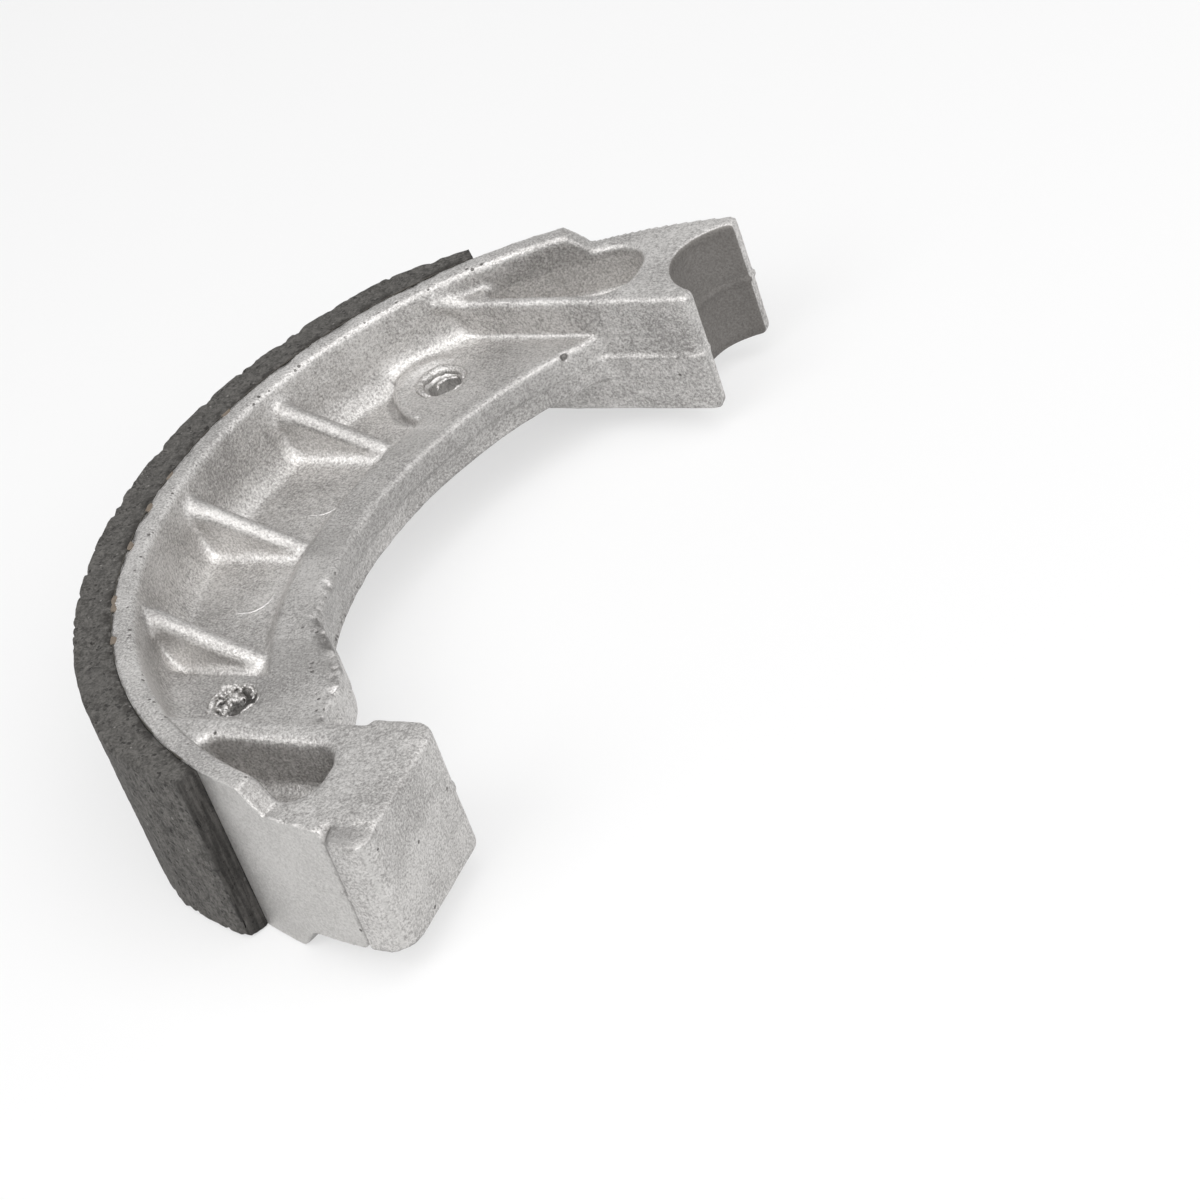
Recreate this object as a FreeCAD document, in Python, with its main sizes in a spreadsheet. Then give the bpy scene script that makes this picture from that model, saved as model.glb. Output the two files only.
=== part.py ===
import FreeCAD, Part
import Sketcher
import math
import os

# A drum brake shoe: one die-cast aluminium shoe and the friction lining bonded round it.
# The origin is the centre of the lining's circle, which is the drum's axis, halfway across the shoe.
# +Z runs along the drum's axis and +Y points at the anchor pin. The shoe lies on the -X side.
# An angle round the shoe is counted from +Y towards -X, in degrees.

doc = FreeCAD.newDocument("brake_shoe")
sheet = doc.addObject("Spreadsheet::Sheet", "sizes")

SIZES = (
    ("lining_radius", 65.0, "outside of the lining, which is the drum's radius"),
    ("lining_thickness", 5.0, "lining from its bond to its rubbing face"),
    ("lining_width", 23.8, "lining along the drum's axis"),
    ("lining_start", 38.9, "angle of the lining's end next to the anchor"),
    ("lining_sweep", 114.6, "angle that the lining covers"),
    ("lining_bevel_run", 12.0, "bevel on the lining's two ends, along"),
    ("lining_bevel_drop", 2.2, "bevel on the lining's two ends, down"),
    ("rim_width", 24.0, "rim along the drum's axis"),
    ("rim_thickness", 2.9, "rim at its edge"),
    ("rim_draft", 0.5, "how much thicker the rim is where its fillet starts"),
    ("rim_fillet", 2.4, "fillet between rim and web"),
    ("rim_edge_bevel", 0.6, "bevel on the rim's inner edges"),
    ("rim_start", 26.9, "angle where the full rim width starts"),
    ("rim_sweep", 133.4, "angle that the full rim width covers"),
    ("ramp_run", 3.0, "length of the slope from the rim's edge down to an end block"),
    ("web_thickness", 2.8, "web between rim and inner band"),
    ("root_start", 1.7336, "how far inside the anchor block the fillet between rim and web starts"),
    ("root_sweep", 0.8186, "how far inside the cam block the fillet between rim and web ends"),
    ("web_reach", 6.0, "web that is turned with the rim"),
    ("band_thickness", 6.5, "inner band"),
    ("band_centre_x", 21.5, "inner edge of the band at its middle, in from the rim's inside"),
    ("band_centre_y", 0.7, "centre of the inner band's curve, towards the anchor"),
    ("band_radius", 56.4, "inner edge of the band"),
    ("band_width", 7.0, "inner band from edge to edge"),
    ("band_slope", 1.5, "slope from the band's outer edge down to the web"),
    ("pocket_tip_round", 1.6, "round in the pockets' narrow ends"),
    ("pocket_floor_slope", 1.1, "slope round the pockets' floors"),
    ("block_width", 17.7, "both end blocks along the drum's axis"),
    ("anchor_wall", 16.4, "inner face of the anchor block, in from the rim's inside"),
    ("anchor_face", 4.9, "face of the anchor block, back from the drum's axis"),
    ("anchor_corner", 0.8, "round on the anchor block's corners"),
    ("anchor_crest", 0.5, "bevel along both edges of the anchor wall's crest"),
    ("seat_radius", 7.57, "half-round seat for the anchor pin"),
    ("seat_across", 2.76, "centre of the seat, back from the drum's axis"),
    ("seat_along", 9.7, "centre of the seat, in from the rim's turned face"),
    ("seat_bevel", 0.35, "bevel round the seat's edges"),
    ("cam_wall", 16.5, "inner face of the cam block, in from the rim's inside"),
    ("cam_face", 3.0, "face that the cam pushes, back from the drum's axis"),
    ("cam_crest_run", 1.2, "slope along the cam wall's crest, across the wall"),
    ("cam_crest_drop", 1.5, "slope along the cam wall's crest, down"),
    ("cam_crest_end", 11.5, "where that slope ends, back from the drum's axis"),
    ("cam_pocket_edge", 0.7, "bevel round the cam pocket's edge"),
    ("cam_corner", 2.4, "round on the cam block's inner corner"),
    ("nose_proud", 0.75, "as-cast nose outside the turned face"),
    ("nose_across", 9.3, "edge between turned face and nose, back from the drum's axis"),
    ("nose_round", 2.4, "round on the nose"),
    ("anchor_pocket_wall", 1.8, "wall between anchor pocket and web"),
    ("anchor_pocket_end", 14.8, "closed end of the anchor pocket, back from the drum's axis"),
    ("anchor_pocket_round", 4.6, "round in the anchor pocket's closed end"),
    ("cam_pocket_wall", 3.7, "wall between cam pocket and web, next to the rim"),
    ("cam_pocket_slant", 0.9, "how much that wall thickens towards the cam"),
    ("cam_pocket_end", 13.2, "closed end of the cam pocket, back from the drum's axis"),
    ("cam_pocket_round", 3.6, "round in the cam pocket's closed end"),
    ("rib_near_anchor", 13.3, "rib next to the anchor, from the spring hole there"),
    ("rib_middle", -2.6, "middle rib, from the drum's axis"),
    ("rib_near_cam", 8.5, "rib next to the cam, from the spring hole there"),
    ("rib_root", 2.7, "rib's thickness at the middle of the web"),
    ("rib_crest", 1.8, "rib's thickness at its crest"),
    ("rib_edge", 0.5, "bevel along a rib's crest"),
    ("rib_foot", 0.9, "slope at a rib's foot"),
    ("band_bevel", 0.4, "bevel along the band's inner edges"),
    ("rib_drop", 1.5, "rib's crest below the rim's edge"),
    ("spring_hole_radius", 2.2, "holes for the return springs"),
    ("spring_hole_flare", 0.7, "flare at each mouth of a spring hole"),
    ("anchor_hole_across", 11.1, "spring hole by the anchor, in from the rim's turned face"),
    ("anchor_hole_along", 9.8, "spring hole by the anchor, in from the anchor block's inner face"),
    ("cam_hole_across", 11.194, "spring hole by the cam, in from the rim's turned face"),
    ("cam_hole_along", 8.2, "spring hole by the cam, in from the cam block's inner face"),
    ("boss_radius", 6.1, "round end of the raised place round the spring hole by the anchor"),
    ("boss_across", 0.5, "that round end's centre from its spring hole, across"),
    ("boss_along", 1.7, "that round end's centre from its spring hole, along"),
    ("lobe_radius", 13.1, "bulge of the band round the spring hole by the cam"),
    ("lobe_start", 15.6, "where the band starts to run out to the bulge, from that spring hole"),
    ("lobe_fill", 4.6, "where the raised place by the cam starts, from that spring hole"),
    ("lobe_fillet", 3.0, "fillet where the bulge runs back into the band"),
    ("boss_root_start", 1.7336, "how far inside the anchor block the raised fillet starts"),
    ("boss_root_sweep", 13.5, "angle of the raised fillet by the anchor"),
    ("lobe_root_start", 120.0, "angle where the raised fillet by the cam starts"),
    ("lobe_root_sweep", 0.8186, "how far inside the cam block the raised fillet ends"),
    ("cam_bevel_run", 2.6, "shallow bevel along the cam face, across"),
    ("cam_bevel_drop", 0.5, "shallow bevel along the cam face, down"),
)


class Size:
    """A length or an angle that carries both its number and the sheet formula it comes from."""

    def __init__(self, formula, number):
        self.formula = formula
        self.number = number

    def _joined(self, sign, other, number):
        return Size("({} {} {})".format(self.formula, sign, other.formula), number)

    def __add__(self, other):
        return self._joined("+", other, self.number + other.number)

    def __sub__(self, other):
        return self._joined("-", other, self.number - other.number)

    def __mul__(self, other):
        return self._joined("*", other, self.number * other.number)

    def __truediv__(self, other):
        return self._joined("/", other, self.number / other.number)

    def __neg__(self):
        return Size("(0 - {})".format(self.formula), -self.number)

    def root(self):
        return Size("sqrt({})".format(self.formula), math.sqrt(self.number))

    def turned(self):
        """The angle in degrees whose cosine this is."""
        return Size("(acos({}) / 1 deg)".format(self.formula), math.degrees(math.acos(self.number)))


def plain(number):
    """A number that no size drives, such as the 2 of a half."""
    return Size(str(number), number)


def fill_sheet():
    """Writes the driving sizes into the sheet and returns them by name."""
    found = {}
    for row, (name, number, meaning) in enumerate(SIZES, start=1):
        sheet.set("A{}".format(row), meaning)
        sheet.set("B{}".format(row), str(number))
        sheet.setAlias("B{}".format(row), name)
        found[name] = Size("sizes." + name, number)
    return found


S = fill_sheet()
doc.recompute()

TWO = plain(2)
QUARTER_TURN = plain(90)
HALF_TURN = plain(180)
OVERLAP = plain(0.5)

rim_outer = S["lining_radius"] - S["lining_thickness"]
rim_inner = rim_outer - S["rim_thickness"]
rim_half = S["rim_width"] / TWO
block_half = S["block_width"] / TWO
web_half = S["web_thickness"] / TWO
band_half = S["band_thickness"] / TWO
anchor_wall = rim_inner - S["anchor_wall"]
cam_wall = rim_inner - S["cam_wall"]
seat_along = rim_outer - S["seat_along"]


def across_circle(radius, along):
    """How far back from its centre a circle is, at a distance along from that centre."""
    return (radius * radius - along * along).root()


def hole_place(inset, along):
    """A spring hole's centre, from its distance inside the rim's turned face and its place along."""
    return -across_circle(rim_outer - inset, along), along


anchor_hole = hole_place(S["anchor_hole_across"], anchor_wall - S["anchor_hole_along"])
cam_hole = hole_place(S["cam_hole_across"], S["cam_hole_along"] - cam_wall)
root_start = ((anchor_wall + S["root_start"]) / rim_inner).turned()
root_end = (-(cam_wall + S["root_sweep"]) / rim_inner).turned()


class Arc:
    """A round edge of an outline. It turns counter-clockwise, or clockwise if turn is -1."""

    def __init__(self, radius, turn=1, centre=None):
        self.radius = radius
        self.turn = turn
        self.centre = centre


def value(size):
    """The number in a size. A plain float is only a start value that the other constraints move."""
    return size.number if isinstance(size, Size) else size


def middle_of(start, stop, arc):
    """The centre of an arc, from its two ends, its radius and the way it turns."""
    if arc.centre is not None:
        return FreeCAD.Vector(value(arc.centre[0]), value(arc.centre[1]), 0)
    chord = stop - start
    reach = math.sqrt(arc.radius.number ** 2 - (chord.Length / 2) ** 2)
    side = FreeCAD.Vector(-chord.y, chord.x, 0) * (arc.turn / chord.Length)
    return (start + stop) * 0.5 + side * reach


def plane_of(body, role):
    """One of a body's own origin planes."""
    return [f for f in body.Origin.OriginFeatures if f.Role == role][0]


def new_sketch(body, name, role, lift=None, turn=None):
    """A sketch on an origin plane, lifted along the plane's normal or turned round the drum's axis."""
    sketch = body.newObject("Sketcher::SketchObject", name)
    sketch.AttachmentSupport = [(plane_of(body, role), "")]
    sketch.MapMode = "FlatFace"
    if lift is not None:
        sketch.AttachmentOffset = FreeCAD.Placement(
            FreeCAD.Vector(0, 0, lift.number), FreeCAD.Rotation())
        sketch.setExpression("AttachmentOffset.Base.z", lift.formula)
    if turn is not None:
        sketch.AttachmentOffset = FreeCAD.Placement(
            FreeCAD.Vector(), FreeCAD.Rotation(FreeCAD.Vector(0, 1, 0), turn.number))
        sketch.setExpression("AttachmentOffset.Rotation.Angle", turn.formula)
    return sketch


def hold(sketch, kind, size, *where):
    """Adds one dimension to a sketch and ties it to the sheet."""
    index = sketch.addConstraint(Sketcher.Constraint(kind, *where, size.number))
    name = "{}{}".format(kind.lower(), index)
    sketch.renameConstraint(index, name)
    sketch.setExpression("Constraints." + name, size.formula)


def hold_point(sketch, geometry, end, x, y):
    """Holds a point by its distances from the sketch's two axes, where these are sizes."""
    if isinstance(x, Size):
        hold(sketch, "DistanceX", x, -1, 1, geometry, end)
    if isinstance(y, Size):
        hold(sketch, "DistanceY", y, -1, 1, geometry, end)


def draw(sketch, outline):
    """Draws a closed outline. It lists corners, with an Arc after a corner that a round edge leaves.

    An arc between two held corners needs only its radius. An arc with a centre of its own is held by
    that too. The word "tangent" before a corner makes the edges run smoothly into each other there.
    """
    corners, arcs, smooth = [], {}, set()
    for item in outline:
        if isinstance(item, Arc):
            arcs[len(corners) - 1] = item
        elif item == "tangent":
            smooth.add(len(corners))
        else:
            corners.append(item)
    ends = []
    for i, corner in enumerate(corners):
        after = corners[(i + 1) % len(corners)]
        start = FreeCAD.Vector(value(corner[0]), value(corner[1]), 0)
        stop = FreeCAD.Vector(value(after[0]), value(after[1]), 0)
        arc = arcs.get(i)
        if arc is None:
            index = sketch.addGeometry(Part.LineSegment(start, stop), False)
            ends.append((index, 1, 2))
            continue
        centre = middle_of(start, stop, arc)
        low, high = (start, stop) if arc.turn > 0 else (stop, start)
        first = math.atan2(low.y - centre.y, low.x - centre.x)
        last = math.atan2(high.y - centre.y, high.x - centre.x)
        if last < first:
            last += 2 * math.pi
        circle = Part.Circle(centre, FreeCAD.Vector(0, 0, 1), arc.radius.number)
        index = sketch.addGeometry(Part.ArcOfCircle(circle, first, last), False)
        ends.append((index, 1, 2) if arc.turn > 0 else (index, 2, 1))
        if arc.centre is not None:
            hold_point(sketch, index, 3, *arc.centre)
        hold(sketch, "Radius", arc.radius, index)
    for i, (index, _, stop_end) in enumerate(ends):
        following = (i + 1) % len(ends)
        after, start_end, _ = ends[following]
        kind = "Tangent" if following in smooth else "Coincident"
        sketch.addConstraint(Sketcher.Constraint(kind, index, stop_end, after, start_end))
    for (index, start_end, _), corner in zip(ends, corners):
        hold_point(sketch, index, start_end, *corner)


def draw_circle(sketch, x, y, radius):
    """Draws a whole circle, held by its centre and radius."""
    circle = Part.Circle(FreeCAD.Vector(x.number, y.number, 0), FreeCAD.Vector(0, 0, 1), radius.number)
    index = sketch.addGeometry(circle, False)
    hold_point(sketch, index, 3, x, y)
    hold(sketch, "Radius", radius, index)


def pad(body, name, sketch, width):
    """Thickens an outline evenly to both sides of its plane."""
    feature = body.newObject("PartDesign::Pad", name)
    feature.Profile = sketch
    feature.Midplane = True
    feature.Length = width.number
    feature.setExpression("Length", width.formula)
    return feature


def cut(body, name, sketch, both_ways=False, backwards=False):
    """Cuts an outline away, through everything on one side of its plane or on both."""
    doc.recompute()
    before = body.Shape.Volume
    feature = body.newObject("PartDesign::Pocket", name)
    feature.Profile = sketch
    feature.Type = "ThroughAll"
    feature.Midplane = both_ways
    feature.Reversed = backwards
    doc.recompute()
    if not body.Shape.Volume < before:
        raise ValueError(name + " cuts nothing")
    return feature


def turn_profile(body, name, sketch, sweep):
    """Turns a section round the drum's axis."""
    feature = body.newObject("PartDesign::Revolution", name)
    feature.Profile = sketch
    feature.ReferenceAxis = (sketch, ["V_Axis"])
    feature.Angle = sweep.number
    feature.setExpression("Angle", sweep.formula)
    return feature


def edges_where(shape, test):
    """The names of the edges whose middle point passes a test."""
    names = []
    for number, edge in enumerate(shape.Edges, start=1):
        first, last = edge.ParameterRange
        if test(edge.valueAt((first + last) / 2), edge):
            names.append("Edge{}".format(number))
    return names


def dress(body, kind, name, size, count, test):
    """A fillet or a chamfer on the edges that pass a test, which must be as many as expected."""
    doc.recompute()
    base = body.Tip
    chosen = edges_where(base.Shape, test)
    if len(chosen) != count:
        raise ValueError("{}: {} edges, not {}".format(name, len(chosen), count))
    feature = body.newObject("PartDesign::" + kind, name)
    feature.Base = (base, chosen)
    field = "Radius" if kind == "Fillet" else "Size"
    setattr(feature, field, size.number)
    feature.setExpression(field, size.formula)
    doc.recompute()
    if "Invalid" in feature.State or not body.Shape.isValid():
        raise ValueError("{}: {}".format(name, feature.getStatusString()))
    return feature


def upright(edge):
    """Whether an edge is straight and runs along the drum's axis."""
    ends = [v.Point for v in edge.Vertexes]
    if len(ends) < 2:
        return False
    return edge.Length > 1 and abs(ends[0].z - ends[1].z) > 0.99 * edge.Length


def near(point, x, y, reach=0.6):
    """Whether a point is next to a place in plan."""
    return math.hypot(point.x - value(x), point.y - value(y)) < reach


band_outer = S["band_radius"] + S["band_width"]
band_middle = S["band_radius"] + S["band_width"] / TWO
band_centre = (S["band_radius"] + S["band_centre_x"] - rim_inner, S["band_centre_y"])


def band_across(radius, along):
    """Where one of the band's curves is, across, at a distance along from the drum's axis."""
    return band_centre[0] - across_circle(radius, along - band_centre[1])


def lower_meeting(centre_a, radius_a, centre_b, radius_b):
    """The lower of the two points where two circles meet, in plan."""
    a, b = (FreeCAD.Vector(value(c[0]), value(c[1]), 0) for c in (centre_a, centre_b))
    gap = (b - a).Length
    reach = (value(radius_a) ** 2 - value(radius_b) ** 2 + gap ** 2) / (2 * gap)
    half = math.sqrt(value(radius_a) ** 2 - reach ** 2)
    way = (b - a) * (1 / gap)
    across = FreeCAD.Vector(way.y, -way.x, 0) * half
    return min(a + way * reach + across, a + way * reach - across, key=lambda p: p.y)


def make_band(body):
    """The inner band, from inside one end block to inside the other, and the web outside it."""
    top = anchor_wall + OVERLAP
    bottom = -(cam_wall + OVERLAP)
    sketch = new_sketch(body, "band_outline", "XY_Plane")
    draw(sketch, [
        (band_across(S["band_radius"], top), top), Arc(S["band_radius"]),
        (band_across(S["band_radius"], bottom), bottom),
        (band_across(band_outer, bottom), bottom), Arc(band_outer, turn=-1),
        (band_across(band_outer, top), top)])
    pad(body, "band", sketch, S["band_thickness"])
    dress(body, "Chamfer", "band_slopes", S["band_slope"], 2, lambda p, e: (
        isinstance(e.Curve, Part.Circle) and abs(e.Curve.Radius - band_outer.number) < 0.01
        and abs(p.z) > band_half.number - 0.01))
    root = rim_inner - S["web_reach"] + OVERLAP
    sketch = new_sketch(body, "web_outline", "XY_Plane")
    draw(sketch, [
        (band_across(band_middle, top), top), Arc(band_middle),
        (band_across(band_middle, bottom), bottom),
        (-across_circle(root, bottom), bottom), Arc(root, turn=-1),
        (-across_circle(root, top), top)])
    pad(body, "web", sketch, S["web_thickness"])


def make_anchor_block(body):
    """The block that swings on the anchor pin, with a pocket in each side."""
    sketch = new_sketch(body, "anchor_outline", "XY_Plane")
    draw(sketch, [
        (-S["anchor_face"], anchor_wall),
        (-S["anchor_face"], across_circle(rim_outer, S["anchor_face"])), Arc(rim_outer),
        (-across_circle(rim_outer, anchor_wall), anchor_wall)])
    pad(body, "anchor_block", sketch, S["block_width"])
    dress(body, "Fillet", "anchor_corners", S["anchor_corner"], 2, lambda p, e: upright(e) and (
        near(p, -S["anchor_face"], anchor_wall)
        or near(p, -S["anchor_face"], across_circle(rim_outer, S["anchor_face"]))))
    dress(body, "Chamfer", "anchor_crests", S["anchor_crest"], 2, lambda p, e: (
        abs(p.z) > block_half.number - 0.01 and abs(p.y - anchor_wall.number) < 0.01))
    edge = anchor_wall + S["anchor_pocket_wall"]
    corner = across_circle(rim_inner, S["anchor_pocket_end"])
    for side, name in ((web_half, "above"), (-web_half, "below")):
        sketch = new_sketch(body, "anchor_pocket_" + name + "_outline", "XY_Plane", lift=side)
        draw(sketch, [
            (-S["anchor_pocket_end"], edge),
            (-S["anchor_pocket_end"], corner), Arc(rim_inner),
            (-across_circle(rim_inner, edge), edge)])
        cut(body, "anchor_pocket_" + name, sketch, backwards=side is web_half)
    dress(body, "Fillet", "anchor_pocket_corners", S["anchor_pocket_round"], 4, lambda p, e: upright(e) and (
        near(p, -S["anchor_pocket_end"], edge) or near(p, -S["anchor_pocket_end"], corner)))
    dress(body, "Fillet", "anchor_pocket_tips", S["pocket_tip_round"], 2, lambda p, e: upright(e) and near(
        p, -across_circle(rim_inner, edge), edge))
    dress(body, "Chamfer", "anchor_pocket_floors", S["pocket_floor_slope"], 12, lambda p, e: (
        abs(abs(p.z) - web_half.number) < 0.01 and p.y > edge.number - 0.01))
    dress(body, "Chamfer", "anchor_pocket_edges", S["anchor_crest"], 2, lambda p, e: (
        abs(p.z) > block_half.number - 0.01 and abs(p.y - edge.number) < 0.01))


def make_cam_block(body):
    """The block that the cam pushes, with a pocket in each side and an as-cast nose."""
    turned_end = -across_circle(rim_outer, S["nose_across"])
    nose = rim_outer + S["nose_proud"]
    nose_start = S["nose_across"] - S["nose_proud"]
    sketch = new_sketch(body, "cam_outline", "XY_Plane")
    draw(sketch, [
        (-S["cam_face"], -cam_wall),
        (-across_circle(rim_outer, cam_wall), -cam_wall), Arc(rim_outer),
        (-S["nose_across"], turned_end),
        (-nose_start, -across_circle(nose, nose_start)), Arc(nose),
        (-S["cam_face"], -across_circle(nose, S["cam_face"]))])
    pad(body, "cam_block", sketch, S["block_width"])
    dress(body, "Fillet", "cam_block_corners", S["cam_corner"], 2, lambda p, e: upright(e) and (
        near(p, -S["cam_face"], -cam_wall)
        or near(p, -S["cam_face"], -across_circle(nose, S["cam_face"]))))
    face = -cam_wall
    inside = face - S["cam_crest_run"]
    sketch = new_sketch(body, "cam_crest_outline", "YZ_Plane", lift=-S["cam_crest_end"])
    for height, drop, over in (
            (block_half, -S["cam_crest_drop"], OVERLAP), (-block_half, S["cam_crest_drop"], -OVERLAP)):
        draw(sketch, [
            (face, height + drop), (inside, height), (inside, height + over),
            (face + OVERLAP, height + over), (face + OVERLAP, height + drop)])
    cut(body, "cam_crest", sketch)
    edge = -(cam_wall + S["cam_pocket_wall"])
    far_edge = edge - S["cam_pocket_slant"]
    corner = -across_circle(rim_inner, S["cam_pocket_end"])
    for side, name in ((web_half, "above"), (-web_half, "below")):
        sketch = new_sketch(body, "cam_pocket_" + name + "_outline", "XY_Plane", lift=side)
        draw(sketch, [
            (-S["cam_pocket_end"], far_edge),
            (-across_circle(rim_inner, edge), edge), Arc(rim_inner),
            (-S["cam_pocket_end"], corner)])
        cut(body, "cam_pocket_" + name, sketch, backwards=side is web_half)
    dress(body, "Fillet", "cam_pocket_corners", S["cam_pocket_round"], 4, lambda p, e: upright(e) and (
        near(p, -S["cam_pocket_end"], far_edge) or near(p, -S["cam_pocket_end"], corner)))
    dress(body, "Fillet", "cam_pocket_tips", S["pocket_tip_round"], 2, lambda p, e: upright(e) and near(
        p, -across_circle(rim_inner, edge), edge))
    dress(body, "Chamfer", "cam_pocket_floors", S["pocket_floor_slope"], 12, lambda p, e: (
        abs(abs(p.z) - web_half.number) < 0.01 and p.y < edge.number + 0.01))
    slanted = edge - S["cam_pocket_slant"] / TWO
    dress(body, "Chamfer", "cam_pocket_edges", S["cam_pocket_edge"], 2, lambda p, e: (
        abs(p.z) > block_half.number - 0.01 and isinstance(e.Curve, Part.Line)
        and abs(p.y - slanted.number) < 0.3 and not upright(e) and e.Length > 4))


def make_rim(body):
    """The rim, turned as one section, with a slope at each end down to the end block."""
    end_run = (S["ramp_run"] / rim_outer) * plain(180 / math.pi)
    edge = S["rim_edge_bevel"]
    sketch = new_sketch(body, "rim_section", "XZ_Plane", turn=QUARTER_TURN + S["rim_start"] - end_run)
    draw(sketch, [
        (rim_outer, -rim_half), (rim_outer, rim_half),
        (rim_inner + edge, rim_half), (rim_inner, rim_half - edge),
        (rim_inner, edge - rim_half), (rim_inner + edge, -rim_half)])
    turn_profile(body, "rim", sketch, S["rim_sweep"] + end_run + end_run)
    slopes = (
        ("anchor_slope", S["rim_start"] - end_run / TWO, 1),
        ("cam_slope", S["rim_start"] + S["rim_sweep"] + end_run / TWO, -1))
    for name, angle, way in slopes:
        sketch = new_sketch(body, name + "_outline", "XZ_Plane", turn=HALF_TURN + angle)
        low = S["ramp_run"] / TWO if way < 0 else -S["ramp_run"] / TWO
        past = low + OVERLAP + OVERLAP if way < 0 else low - OVERLAP - OVERLAP
        for edge_height, block_height, over in (
                (rim_half, block_half, OVERLAP), (-rim_half, -block_half, -OVERLAP)):
            draw(sketch, [
                (past, block_height), (low, block_height), (-low, edge_height),
                (-low, edge_height + over), (past, edge_height + over)])
        cut(body, name, sketch, both_ways=True)


def make_root(body):
    """The fillet between rim and web, with the web's own root, turned as one T-shaped section."""
    foot = rim_inner - S["rim_draft"]
    wall_foot = web_half + S["rim_fillet"]
    fillet_foot = foot - S["rim_fillet"]
    web_end = rim_inner - S["web_reach"]
    top = rim_half - S["rim_edge_bevel"] - S["rim_edge_bevel"]
    buried = rim_inner + OVERLAP + OVERLAP
    sketch = new_sketch(body, "root_section", "XZ_Plane", turn=QUARTER_TURN + root_start)
    draw(sketch, [
        (buried, -top), (buried, top), (rim_inner, top),
        (foot, wall_foot), Arc(S["rim_fillet"], turn=-1),
        (fillet_foot, web_half),
        (web_end, web_half), (web_end, -web_half),
        (fillet_foot, -web_half), Arc(S["rim_fillet"], turn=-1),
        (foot, -wall_foot),
        (rim_inner, -top)])
    turn_profile(body, "root", sketch, root_end - root_start)


def make_ribs(body):
    """Three ribs on each side of the web, each running down from the rim's edge to the band."""
    places = (
        ("rib_near_anchor", anchor_hole[1] - S["rib_near_anchor"]),
        ("rib_middle", S["rib_middle"]),
        ("rib_near_cam", cam_hole[1] + S["rib_near_cam"]))
    for name, along in places:
        ends = (
            (-(across_circle(rim_inner, along) + OVERLAP + OVERLAP), rim_half - S["rib_drop"]),
            (band_across(band_outer, along) + OVERLAP + OVERLAP, band_half - OVERLAP))
        sections = []
        for number, (across, height) in enumerate(ends):
            sketch = new_sketch(body, "{}_section{}".format(name, number), "YZ_Plane", lift=across)
            root = S["rib_root"] / TWO
            crest = S["rib_crest"] / TWO
            edge = S["rib_edge"]
            side = [
                (root + S["rib_foot"], web_half), (root, web_half + S["rib_foot"]),
                (crest, height - edge), (crest - edge, height)]
            outline = [(along + wide, high) for wide, high in side]
            outline += [(along - wide, high) for wide, high in reversed(side)]
            outline += [(along - wide, -high) for wide, high in side]
            outline += [(along + wide, -high) for wide, high in reversed(side)]
            draw(sketch, outline)
            sections.append(sketch)
        feature = body.newObject("PartDesign::AdditiveLoft", name)
        feature.Profile = sections[0]
        feature.Sections = sections[1:]
        feature.Ruled = True


def make_raised_root(body, name, start, sweep):
    """The rim's fillet where it rises from a place that is as thick as the band."""
    inner = rim_inner - S["rim_draft"]
    top = band_half + S["rim_fillet"]
    buried = rim_outer - OVERLAP - OVERLAP
    sketch = new_sketch(body, name + "_section", "XZ_Plane", turn=QUARTER_TURN + start)
    draw(sketch, [
        (buried, -top), (buried, top), (inner, top), Arc(S["rim_fillet"], turn=-1),
        (inner - S["rim_fillet"], band_half),
        (inner - S["rim_fillet"], -band_half), Arc(S["rim_fillet"], turn=-1),
        (inner, -top)])
    turn_profile(body, name, sketch, sweep)


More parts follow.
